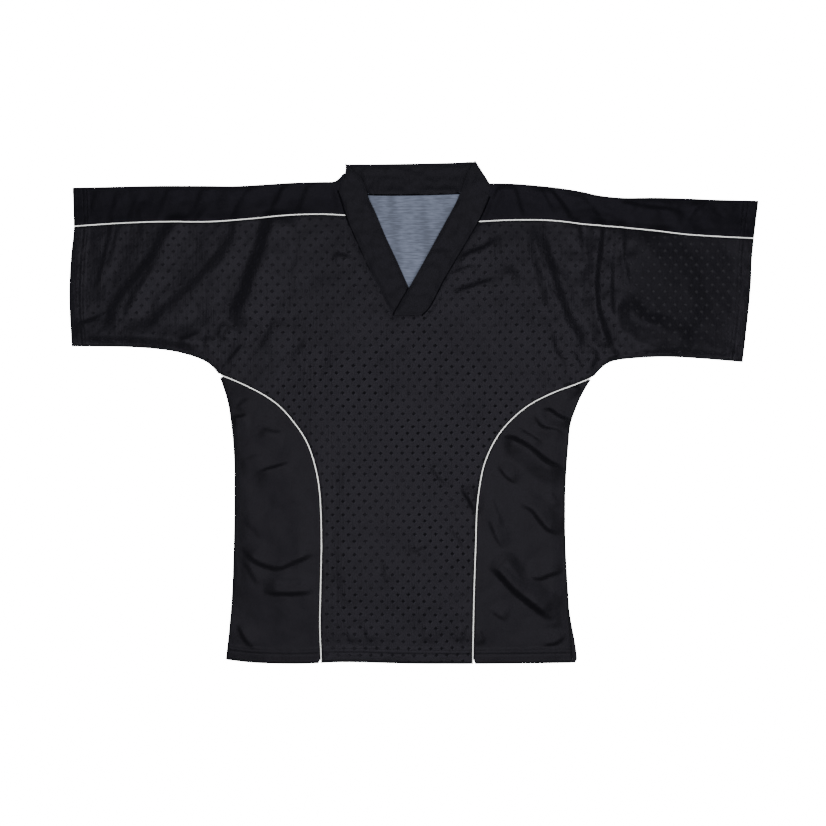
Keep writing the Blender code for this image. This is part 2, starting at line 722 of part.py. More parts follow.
def back_neckline(left_seam, right_seam):
    """Under the collar's back stretch, just below its sewn edge."""
    line = smooth_path([(row.seam_x, row.seam_y - SEAM_GAP) for row in BACK_BAND], 2 * EDGE_STEP)
    return [p for p in line if left_seam[-1].x + 4 < p.x < right_seam[0].x - 4]


def back_underside(x, y):
    return 0.0


def back_thickness(x, y):
    return CLOTH


def build():
    for old in list(bpy.data.objects):
        bpy.data.objects.remove(old)

    front_seams = shoulder_seams("front_seam_y")
    back_seams = shoulder_seams("back_seam_y")
    guides = hem_points() + fold_points()
    panel_solid(
        "front_body",
        body_outline(front_seams[0], front_neckline(*front_seams), front_seams[1]),
        front_underside,
        front_thickness,
        GRID_STEP,
        guides,
        "jacquard_polyester",
    )
    panel_solid(
        "back_body",
        body_outline(back_seams[0], back_neckline(*back_seams), back_seams[1]),
        back_underside,
        back_thickness,
        BACK_GRID_STEP,
        [],
        "jacquard_polyester",
    )
    shoulder_piece("shoulder_left", LEFT_SHOULDER)
    shoulder_piece("shoulder_right", RIGHT_SHOULDER)

    sides = (
        ("left", LEFT_EDGE, LEFT_EDGE, LEFT_SIDE_SEAM, -1),
        ("right", RIGHT_EDGE, flared(RIGHT_EDGE, BACK_VENT_FLARE), RIGHT_SIDE_SEAM, 1),
    )
    for side, front_edge, back_edge, seam, outwards in sides:
        panel_solid(
            f"side_front_{side}",
            side_outline(front_edge, seam, outwards),
            front_underside,
            front_thickness,
            0.8 * GRID_STEP,
            guides,
            "plain_polyester",
        )
        panel_solid(
            f"side_back_{side}",
            side_outline(back_edge, seam, outwards),
            back_underside,
            back_thickness,
            BACK_GRID_STEP,
            [],
            "plain_polyester",
        )

    collar()

    for side, index in (("left", 0), ("right", 1)):
        seam = (LEFT_SIDE_SEAM, RIGHT_SIDE_SEAM)[index]
        hem_y = interpolate(HEM_EDGE, seam[-1].x)
        side_path = trimmed([*seam, Vector((seam[-1].x, hem_y))], 4.0, 0.0)
        for face, shoulder_path, floor_height in (
            ("front", front_seams[index], front_underside),
            ("back", back_seams[index], back_underside),
        ):
            rises = face == "front"
            from_cuff = shoulder_path if side == "left" else shoulder_path[::-1]
            shoulder_line = trimmed(from_cuff, 0.6, 1.4 if rises else 7.0)
            piping(f"piping_shoulder_{face}_{side}", shoulder_line, floor_height, rises)
            piping(f"piping_side_{face}_{side}", side_path, floor_height, rises)



build()
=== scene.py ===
import math
from collections import namedtuple

import bpy
import numpy as np
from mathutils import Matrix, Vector, noise
from mathutils.bvhtree import BVHTree
from mathutils.geometry import delaunay_2d_cdt
from mathutils.kdtree import KDTree


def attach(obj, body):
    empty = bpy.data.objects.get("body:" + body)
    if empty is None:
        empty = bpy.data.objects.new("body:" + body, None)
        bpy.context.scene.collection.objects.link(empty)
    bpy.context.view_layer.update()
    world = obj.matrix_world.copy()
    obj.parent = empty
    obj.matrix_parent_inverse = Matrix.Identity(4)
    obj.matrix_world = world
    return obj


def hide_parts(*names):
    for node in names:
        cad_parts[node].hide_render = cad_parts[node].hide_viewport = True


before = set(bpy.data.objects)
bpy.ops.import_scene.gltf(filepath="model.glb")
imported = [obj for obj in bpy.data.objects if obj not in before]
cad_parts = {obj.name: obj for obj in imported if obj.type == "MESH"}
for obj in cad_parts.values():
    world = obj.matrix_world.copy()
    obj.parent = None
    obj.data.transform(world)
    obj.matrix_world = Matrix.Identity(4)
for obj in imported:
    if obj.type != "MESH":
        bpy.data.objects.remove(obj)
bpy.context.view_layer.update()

# Back. The T-shaped back, cut in one from cuff to cuff in black satin jacquard. It lies flat with its face
# down, and the pale reverse of the jacquard shows inside the V of the neck. Sizes are in millimetres here
# and below, x to the viewer's right and y up the shirt, and left and right are the viewer's.

MM = 0.001
CLOTH = 1.2  # one layer
PIPING_WIDTH = 1.8
PIPED_SEAM = PIPING_WIDTH / 2 - 0.2  # from a piped seam's middle to the edge of the cloth, under the cord
BACK_STEP = 7.0  # spacing of the points of the back
CORNER_GAP = 1.5  # an outline leaves this much free beside a corner before the next edge begins
ROW_SPACING = 0.8  # least spacing of the points along stitched rows
CLEAR_SHARE = 0.55  # the grid inside an outline keeps this share of its step clear of edges and rows
SHARP_ANGLE = 50.0  # degrees; edges of the cloth sharper than this are shaded as corners


def named_rows(columns, *rows):
    """A table: rows whose columns have names."""
    Row = namedtuple("Row", columns)
    return [Row(*row) for row in rows]


SHOULDER_COLUMNS = "x fold_y front_seam_y back_seam_y"
LEFT_SHOULDER = named_rows(
    SHOULDER_COLUMNS,
    (-543, 359.0, 297.3, 297.3),
    (-482, 360.5, 301.5, 301.0),
    (-410, 362.0, 304.5, 304.5),
    (-334, 362.0, 304.5, 309.0),
    (-287, 361.6, 307.0, 315.0),
    (-241, 364.0, 311.2, 322.0),
    (-194, 367.0, 315.4, 330.0),
    (-148, 368.3, 316.8, 340.0),
    (-127, 369.0, 316.1, 344.4),
    (-118, 375.0, 315.5, 346.5),
    (-109, 382.0, 315.0, 348.4),
    (-89, 367.0, 313.5, 353.0),
)
RIGHT_SHOULDER = named_rows(
    SHOULDER_COLUMNS,
    (90, 366.0, 304.5, 352.5),
    (104, 366.0, 305.0, 350.0),
    (156, 365.6, 307.4, 339.0),
    (204, 361.8, 307.4, 328.5),
    (238, 357.8, 305.0, 320.0),
    (270, 352.4, 300.8, 311.0),
    (297, 346.5, 298.4, 304.0),
    (335, 342.9, 295.2, 296.5),
    (383, 343.2, 290.4, 290.4),
    (433, 342.0, 284.5, 284.5),
    (481, 340.0, 281.3, 281.3),
    (549, 338.2, 278.0, 278.0),
)

TORSO = named_rows(
    "y left_edge left_seam right_seam right_edge",
    (48, -306.0, -277.0, 264.0, 279.0),
    (30, -300.0, -241.0, 217.0, 268.5),
    (10, -295.0, -213.0, 180.0, 259.5),
    (-18, -291.0, -188.5, 148.5, 250.0),
    (-47, -288.0, -170.0, 127.5, 247.0),
    (-83, -286.0, -157.5, 112.0, 244.0),
    (-120, -286.0, -150.5, 104.5, 242.0),
    (-156, -286.0, -148.0, 100.5, 241.5),
    (-210, -287.0, -147.0, 98.7, 242.0),
    (-283, -289.5, -148.5, 96.2, 246.0),
    (-337, -293.5, -149.5, 95.0, 249.5),
    (-392, -299.5, -147.5, 94.0, 253.0),
)
LEFT_PIT = (-311.0, 62.0)
RIGHT_PIT = (286.0, 57.5)
LEFT_CUFF = ((-543, 359), (-541.5, 297), (-546, 250), (-548.5, 205), (-548, 160), (-545, 106))
RIGHT_CUFF = ((548.6, 337.6), (542, 278), (538.5, 241), (537, 204), (532, 150), (524, 81))
LEFT_UNDERARM = ((-545, 106), (-457, 105), (-399, 100.6), (-361, 93), (-335, 83.5), (-321, 74), LEFT_PIT)
RIGHT_UNDERARM = (
    (524, 81), (465, 86), (407, 89.3), (369, 88.3), (330, 85), (311, 80), (298, 70.5), RIGHT_PIT,
)
HEM = ((-299.5, -393), (-254, -398), (-182, -399.6), (-110, -397), (4, -399.6), (138, -399.6), (253, -398))
# x of the piped shoulder seams' ends: left cuff, left neck, right neck, right cuff
SEAM_ENDS = {
    "front_seam_y": (-541.5, -107.0, 102.6, 542.0),
    "back_seam_y": (-541.5, -90.5, 91.5, 542.0),
}
TUCK = 2.0  # how far the raw edges run on into the collar
BACK_NECK_SEAM = ((-101.5, 356), (-73, 348), (1, 347.5), (74.5, 350), (103, 354.5))
STEP = 3.2  # spacing of the points along edges and seams
COARSE_STEP = 6.0  # and along lines that only guide a shape
PIT_CUT = 1.0  # the seams under the arms stop this short of the armpit


def smooth_path(knots, step=STEP):
    """Points about step apart on a smooth curve through the knots, which may have more than x and y."""
    knots = np.array(knots, float)
    ends = np.vstack([2 * knots[0] - knots[1], knots, 2 * knots[-1] - knots[-2]])
    parts = []
    for before, start, end, after in zip(ends, ends[1:], ends[2:], ends[3:]):
        count = max(1, round(float(np.linalg.norm((end - start)[:2])) / step))
        t = (np.arange(count) / count)[:, None]
        parts.append(
            start
            + 0.5 * t * (end - before)
            + t**2 * (before - 2.5 * start + 2 * end - 0.5 * after)
            + t**3 * (1.5 * start - 0.5 * before - 1.5 * end + 0.5 * after)
        )
    return np.vstack([*parts, knots[-1:]])


def beside(path, distance):
    """The path moved sideways, to the left of its direction for a positive distance."""
    along = np.gradient(path[:, :2], axis=0)
    along /= np.linalg.norm(along, axis=1)[:, None]
    return path[:, :2] + distance * np.column_stack([-along[:, 1], along[:, 0]])


def lengths_along(path):
    return np.concatenate([[0.0], np.cumsum(np.linalg.norm(np.diff(path[:, :2], axis=0), axis=1))])


def stretch(path, start, end, step=STEP):
    """The stretch of a path from one length to another, where an end below 0 counts from the far end."""
    lengths = lengths_along(path)
    end = lengths[-1] + end if end <= 0 else end
    wanted = np.linspace(start, end, max(2, round((end - start) / step) + 1))
    return np.column_stack([np.interp(wanted, lengths, path[:, k]) for k in range(path.shape[1])])


def column(table, name):
    return smooth_path([(row.x, getattr(row, name)) for row in table])


def torso_path(pit, name):
    return smooth_path([pit, *((getattr(row, name), row.y) for row in TORSO)])


left_edge, right_edge = torso_path(LEFT_PIT, "left_edge"), torso_path(RIGHT_PIT, "right_edge")
left_side_seam, right_side_seam = torso_path(LEFT_PIT, "left_seam"), torso_path(RIGHT_PIT, "right_seam")
left_arm_seam, right_arm_seam = smooth_path(LEFT_UNDERARM), smooth_path(RIGHT_UNDERARM)
left_cuff, right_cuff = smooth_path(LEFT_CUFF), smooth_path(RIGHT_CUFF)
hem_edge = smooth_path(HEM)


def shoulder_seams(name):
    """The left and right shoulder seams of the front or the back, each from left to right."""
    left_out, left_in, right_in, right_out = SEAM_ENDS[name]
    seams = []
    for table, low, high in ((LEFT_SHOULDER, left_out, left_in), (RIGHT_SHOULDER, right_in, right_out)):
        path = column(table, name)
        xs = np.linspace(low, high, round((high - low) / STEP))
        seams.append(np.column_stack([xs, np.interp(xs, path[:, 0], path[:, 1])]))
    return seams


def hem_between(low_x, high_x):
    xs = np.linspace(low_x, high_x, max(3, round((high_x - low_x) / STEP)))
    return np.column_stack([xs, np.interp(xs, hem_edge[:, 0], hem_edge[:, 1])])


def t_outline(seams, neckline):
    """The T of the front or the back, clockwise from the left cuff's top."""
    left_seam = beside(left_side_seam, PIPED_SEAM)
    right_seam = beside(right_side_seam, -PIPED_SEAM)
    return np.vstack(
        [
            beside(seams[0], -PIPED_SEAM),
            neckline,
            beside(seams[1], -PIPED_SEAM),
            right_cuff[right_cuff[:, 1] < seams[1][-1, 1] - PIPED_SEAM - CORNER_GAP][:-1],
            stretch(right_arm_seam, 0, -PIT_CUT),
            right_seam,
            hem_between(left_seam[-1, 0], right_seam[-1, 0])[::-1],
            left_seam[::-1],
            stretch(left_arm_seam, 0, -PIT_CUT)[::-1],
            left_cuff[left_cuff[:, 1] < seams[0][0, 1] - PIPED_SEAM - CORNER_GAP][:-1][::-1],
        ]
    )


def nearest_on(line, points):
    """Distance of each point from a dense line of points, and the index of the nearest one."""
    tree = KDTree(len(line))
    for index, (x, y) in enumerate(line[:, :2]):
        tree.insert((x, y, 0.0), index)
    tree.balance()
    found = [tree.find((x, y, 0.0)) for x, y in points[:, :2]]
    return np.array([distance for _, _, distance in found]), np.array([index for _, index, _ in found])


def nearest_distances(points, line):
    return nearest_on(line, points)[0]


def thinned(points, least, kept_from=()):
    """The points that keep a least distance from each other and from some earlier ones."""
    cells = {}
    kept = []
    for group, keep in ((kept_from, False), (points, True)):
        for x, y in group:
            home = (math.floor(x / least), math.floor(y / least))
            near = (cells.get((home[0] + i, home[1] + j), ()) for i in (-1, 0, 1) for j in (-1, 0, 1))
            if keep and any((x - a) ** 2 + (y - b) ** 2 < least**2 for cell in near for a, b in cell):
                continue
            cells.setdefault(home, []).append((x, y))
            if keep:
                kept.append((x, y))
    return np.array(kept).reshape(-1, 2)


def flat_cut(outline, step, rows=()):
    """A cut piece's points and triangles in the plane: its outline, rows of stitching, and a grid."""
    low, high = outline.min(axis=0), outline.max(axis=0)
    row_height = step * math.sqrt(3) / 2
    ys, xs = np.meshgrid(
        np.arange(low[1], high[1], row_height), np.arange(low[0], high[0], step), indexing="ij"
    )
    xs = xs + step / 2 * (np.arange(len(ys)) % 2)[:, None]
    grid = np.column_stack([xs.ravel(), ys.ravel()])
    rows = np.vstack([outline, *rows]) if len(rows) else outline
    fixed = thinned(rows[len(outline) :], ROW_SPACING, outline)
    grid = grid[nearest_distances(grid, np.vstack([outline, fixed])) > CLEAR_SHARE * step]
    points = [Vector(p) for p in np.vstack([outline, fixed, grid])]
    border = [list(range(len(outline)))]
    coords, _, triangles, *_ = delaunay_2d_cdt(points, [], border, 1, 1e-5)
    triangles = np.array(triangles)
    used, triangles = np.unique(triangles, return_inverse=True)
    return np.array([coords[i] for i in used]), triangles.reshape(-1, 3)


def cloth_object(name, points, faces, materials, indices):
    """Makes a closed mesh, given in millimetres, an object with its materials."""
    data = bpy.data.meshes.new(name)
    data.from_pydata([tuple(p) for p in points * MM], [], faces)
    for material in materials:
        data.materials.append(material)
    data.polygons.foreach_set("material_index", np.array(indices, dtype=np.int32))
    data.validate()
    data.shade_smooth()
    data.set_sharp_from_angle(angle=math.radians(SHARP_ANGLE))
    piece = bpy.data.objects.new(name, data)
    bpy.context.scene.collection.objects.link(piece)
    return piece


def cut_piece(name, flat, triangles, low_z, high_z, materials, reverse_up):
    """One layer of cloth as a closed shell between two heights, with its face and its reverse."""
    count = len(flat)
    points = np.vstack([np.column_stack([flat, low_z]), np.column_stack([flat, high_z])])
    edges = np.vstack([triangles[:, [0, 1]], triangles[:, [1, 2]], triangles[:, [2, 0]]])
    keys = {tuple(edge) for edge in edges.tolist()}
    painted_highlight_rim = [(a, b) for a, b in keys if (b, a) not in keys]
    upper = (triangles + count).tolist()
    lower = triangles[:, ::-1].tolist()
    sides = [(a, b, b + count, a + count) for a, b in sorted(painted_highlight_rim)]
    face, reverse = 0, len(materials) - 1
    indices = [reverse if reverse_up else face] * len(upper)
    indices += [face if reverse_up else reverse] * len(lower) + [face] * len(sides)
    return cloth_object(name, points, upper + lower + sides, materials, indices)


def linear(hex_colour):
    """The linear colour of an sRGB hex value."""
    channels = [int(hex_colour[i : i + 2], 16) / 255 for i in (0, 2, 4)]
    return (*(c / 12.92 if c <= 0.04045 else ((c + 0.055) / 1.055) ** 2.4 for c in channels), 1.0)


def add_node(tree, kind, settings=None, links=None):
    """Adds a node. settings hold its properties and socket values, and links what feeds its sockets, where
    a node stands for its first output."""
    node = tree.nodes.new(kind)
    for key, value in (settings or {}).items():
        if isinstance(key, str) and hasattr(node, key):
            setattr(node, key, value)
        else:
            node.inputs[key].default_value = value
    for key, source in (links or {}).items():
        output = source if isinstance(source, bpy.types.NodeSocket) else source.outputs[0]
        tree.links.new(output, node.inputs[key])
    return node


def new_cloth(name, roughness, specular, tint=(1.0, 1.0, 1.0, 1.0)):
    """A material with its shader, and an output that gives the piece's own coordinates in metres."""
    material = bpy.data.materials.new(name)
    material.use_nodes = True
    tree = material.node_tree
    shader = tree.nodes["Principled BSDF"]
    shader.inputs["Roughness"].default_value = roughness
    shader.inputs["Specular IOR Level"].default_value = specular
    shader.inputs["Specular Tint"].default_value = tint
    return material, tree, shader, add_node(tree, "ShaderNodeTexCoord").outputs["Object"]


def dye(tree, shader, share, dark, light, grain=None, strength=0.0, depth=0.0):
    """Colours a cloth between two shades and raises its grain, if it has one, by a depth in metres."""
    shades = {"data_type": "RGBA", 6: linear(dark), 7: linear(light)}
    colour = add_node(tree, "ShaderNodeMix", shades, {0: share})
    tree.links.new(colour.outputs[2], shader.inputs["Base Color"])
    if grain:
        raised = {"Strength": strength, "Distance": depth}
        bump = add_node(tree, "ShaderNodeBump", raised, {"Height": grain})
        tree.links.new(bump.outputs["Normal"], shader.inputs["Normal"])


# Black polyester satin jacquard. The floats of the satin ground catch the light, and the small woven
# lozenges are duller, so they look darker than the ground in the light and lighter than it in a fold.
LOZENGE_REPEAT = (0.0173, 0.0214)  # metres, with a second lozenge in the middle of each repeat
LOZENGE_HALF = (0.0030, 0.0026)  # metres from its middle to its points
HIGHLIGHT_OFFSET = (-0.0014, 0.0012)  # metres, of the painted highlight beside each lozenge
DRIFT = 0.010  # metres over which the rows of lozenges wander
GROUND_LIGHT, GROUND_DARK = "07070a", "040405"
# the middle lozenge shade is a painted highlight beside each lozenge, and the last is a painted sheen on
# the lozenges out in the right sleeve
LOZENGE_BLACK, LOZENGE_PAINTED_HIGHLIGHT, LOZENGE_PAINTED_SHEEN = "040405", "101014", "121214"

VIOLET_SHEEN = (0.88, 0.83, 1.0, 1.0)  # black polyester dye reflects a little violet

jacquard, tree, shader, place = new_cloth("polyester_satin_jacquard", 0.40, 0.059, VIOLET_SHEEN)
drift = add_node(tree, "ShaderNodeTexNoise", {"Scale": 7.0, "Detail": 1.0}, {"Vector": place})
drift = add_node(
    tree, "ShaderNodeVectorMath", {"operation": "MULTIPLY_ADD", 1: (DRIFT,) * 3, 2: (-DRIFT / 2,) * 3},
    {0: drift.outputs["Color"]},
)
drifted = add_node(tree, "ShaderNodeVectorMath", {"operation": "ADD"}, {0: place, 1: drift})
repeats = add_node(
    tree, "ShaderNodeVectorMath",
    {"operation": "MULTIPLY", 1: (1 / LOZENGE_REPEAT[0], 1 / LOZENGE_REPEAT[1], 0.0)}, {0: drifted},
)
reach = [repeat / half for repeat, half in zip(LOZENGE_REPEAT, LOZENGE_HALF)]
masks = []
for offset in ((0.0, 0.0), HIGHLIGHT_OFFSET):
    found = []
    for shift in (0.0, 0.5):
        moved = [shift + aside / repeat for aside, repeat in zip(offset, LOZENGE_REPEAT)]
        cell = repeats
        for settings in (
            {"operation": "ADD", 1: (*moved, 0.0)},
            {"operation": "FRACTION"},
            {"operation": "SUBTRACT", 1: (0.5, 0.5, 0.0)},
            {"operation": "ABSOLUTE"},
            {"operation": "DOT_PRODUCT", 1: (*reach, 0.0)},
        ):
            cell = add_node(tree, "ShaderNodeVectorMath", settings, {0: cell})
        found.append(cell.outputs["Value"])
    least = add_node(tree, "ShaderNodeMath", {"operation": "MINIMUM"}, {0: found[0], 1: found[1]})
    soft_edge = {"interpolation_type": "SMOOTHSTEP", "From Min": 1.25, "From Max": 0.75}
    masks.append(add_node(tree, "ShaderNodeMapRange", soft_edge, {"Value": least}))
lozenge, shifted = masks
less = {"operation": "SUBTRACT", "use_clamp": True}
# painted highlight: a lighter crescent beside each lozenge, where a raised edge would catch the light
painted_highlight_rim = add_node(tree, "ShaderNodeMath", less, {0: shifted, 1: lozenge})
# The lozenges are drawn clearest in the middle of the body and fainter out in the sleeves. On the outer
# half of the right sleeve they are painted lighter than the ground: a painted sheen, where the ground there
# lies in shade.
spots = []
for centre, near, far, inside_spot, outside_spot in (
    ((-0.02, -0.11, 0.0), 0.15, 0.40, 0.95, 0.42),
    ((0.435, 0.20, 0.0), 0.055, 0.13, 1.0, 0.0),
):
    away = add_node(tree, "ShaderNodeVectorMath", {"operation": "DISTANCE", 1: centre}, {0: place})
    fall = {"interpolation_type": "SMOOTHSTEP", "From Min": near, "From Max": far}
    fall |= {"To Min": inside_spot, "To Max": outside_spot}
    spots.append(add_node(tree, "ShaderNodeMapRange", fall, {"Value": away.outputs["Value"]}))
clearness, painted_sheen_spot = spots
patches = add_node(tree, "ShaderNodeTexNoise", {"Scale": 11.0, "Detail": 1.0}, {"Vector": place})
patches = add_node(
    tree, "ShaderNodeMapRange", {"From Min": 0.35, "From Max": 0.62, "To Min": 0.2, "To Max": 1.0},
    {"Value": patches},
)
clearness = add_node(tree, "ShaderNodeMath", {"operation": "MULTIPLY"}, {0: clearness, 1: patches})
dark_lozenge, painted_sheen_lozenge, painted_highlight_rim = (
    add_node(tree, "ShaderNodeMath", {"operation": "MULTIPLY"}, {0: mask, 1: share})
    for mask, share in ((lozenge, clearness), (lozenge, painted_sheen_spot), (painted_highlight_rim, clearness))
)
dark_lozenge = add_node(tree, "ShaderNodeMath", less, {0: dark_lozenge, 1: painted_sheen_lozenge})
# slubs in the warp, drawn 3 mm wide where the real ones are about 1 mm
slubs = add_node(tree, "ShaderNodeMapping", {"Scale": (330.0, 22.0, 1.0)}, {"Vector": place})
slubs = add_node(tree, "ShaderNodeTexNoise", {"Scale": 1.0, "Detail": 2.0}, {"Vector": slubs})
ground = {"data_type": "RGBA", 6: linear(GROUND_DARK), 7: linear(GROUND_LIGHT)}
colour = add_node(tree, "ShaderNodeMix", ground, {0: slubs}).outputs[2]
# over the ground go the lozenges' own black, the painted highlight and the painted sheen
for mask, shade in ((dark_lozenge, LOZENGE_BLACK), (painted_highlight_rim, LOZENGE_PAINTED_HIGHLIGHT), (painted_sheen_lozenge, LOZENGE_PAINTED_SHEEN)):
    settings = {"data_type": "RGBA", 7: linear(shade)}
    colour = add_node(tree, "ShaderNodeMix", settings, {0: mask, 6: colour}).outputs[2]
dulled = add_node(
    tree, "ShaderNodeMath", {"operation": "MULTIPLY_ADD", 1: 0.3}, {0: painted_sheen_spot, 2: dark_lozenge}
)
dullness = add_node(tree, "ShaderNodeMapRange", {"To Min": 0.40, "To Max": 0.80}, {"Value": dulled})
height = add_node(tree, "ShaderNodeMath", {"operation": "MULTIPLY_ADD", 1: -0.8}, {0: lozenge, 2: slubs})
bump = add_node(tree, "ShaderNodeBump", {"Strength": 0.5, "Distance": 0.0006}, {"Height": height})
tree.links.new(colour, shader.inputs["Base Color"])
tree.links.new(dullness.outputs["Result"], shader.inputs["Roughness"])
tree.links.new(bump.outputs["Normal"], shader.inputs["Normal"])

# The jacquard's reverse: the pale blue-grey weft shows there as fine ribs across the cloth. The ribs are
# drawn 3 mm apart where the real ones are about 0.7 mm.
REVERSE_PALE, REVERSE_GREY = "4e5361", "3a3e48"
reverse, tree, shader, place = new_cloth("jacquard_reverse_weft", 0.75, 0.05)
ribs = add_node(tree, "ShaderNodeMapping", {"Scale": (60.0, 400.0, 1.0)}, {"Vector": place})
ribs = add_node(tree, "ShaderNodeTexNoise", {"Scale": 1.0, "Detail": 3.0}, {"Vector": ribs})
rib_shade = add_node(tree, "ShaderNodeMapRange", {"From Min": 0.3, "From Max": 0.7}, {"Value": ribs})
# painted fold shade: soft slanting darker streaks, a few centimetres wide, where the back lies a little
# slack in the neck
slant = {"Scale": (34.0, 11.0, 1.0), "Rotation": (0.0, 0.0, 0.35)}
fold_shade_noise = add_node(tree, "ShaderNodeMapping", slant, {"Vector": place})
fold_shade_noise = add_node(tree, "ShaderNodeTexNoise", {"Scale": 1.0, "Detail": 1.0}, {"Vector": fold_shade_noise})
painted_fold_shade = add_node(
    tree, "ShaderNodeMapRange", {"From Min": 0.36, "From Max": 0.56, "To Min": -0.5, "To Max": 0.05},
    {"Value": fold_shade_noise},
)
# the ribs' own tone, darkened by the painted fold shade
shade = add_node(tree, "ShaderNodeMath", {"operation": "ADD"}, {0: rib_shade, 1: painted_fold_shade})
dye(tree, shader, shade, REVERSE_GREY, REVERSE_PALE, ribs, 0.4, 0.0004)

back_seams = shoulder_seams("back_seam_y")
neck = smooth_path([(x, y + TUCK) for x, y in BACK_NECK_SEAM])
neck = neck[(neck[:, 0] > back_seams[0][-1, 0] + 2) & (neck[:, 0] < back_seams[1][0, 0] - 2)]
outline = t_outline(back_seams, neck)
flat, triangles = flat_cut(outline, BACK_STEP)
back = cut_piece(
    "back", flat, triangles, np.zeros(len(flat)), np.full(len(flat), CLOTH), [jacquard, reverse], True
)
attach(back, "root")
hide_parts("back_body")

# Front. The T-shaped front, the same cut in the same jacquard. It lies on the back, pinned to it by the
# seams under the arms, and the folds of the sleeves fan out from the armpits.

HEM_WIDTH = 24.0
HEM_EXTRA = 0.6  # what the turned hem adds to the thickness
PINNED_GAP = 0.3  # between front and back where a seam holds them together
LOFT = 1.1  # and elsewhere
LOFT_REACH = 26.0
CREASE_REACH = 9.0  # the creases run out over this width at a closed seam
LEAST_GAP = 0.25
VENT_TOP = -305.0
FRONT_STEP = 3.4
ROUNDED_EDGE = 2.5  # over this width the cloth thins towards its edge

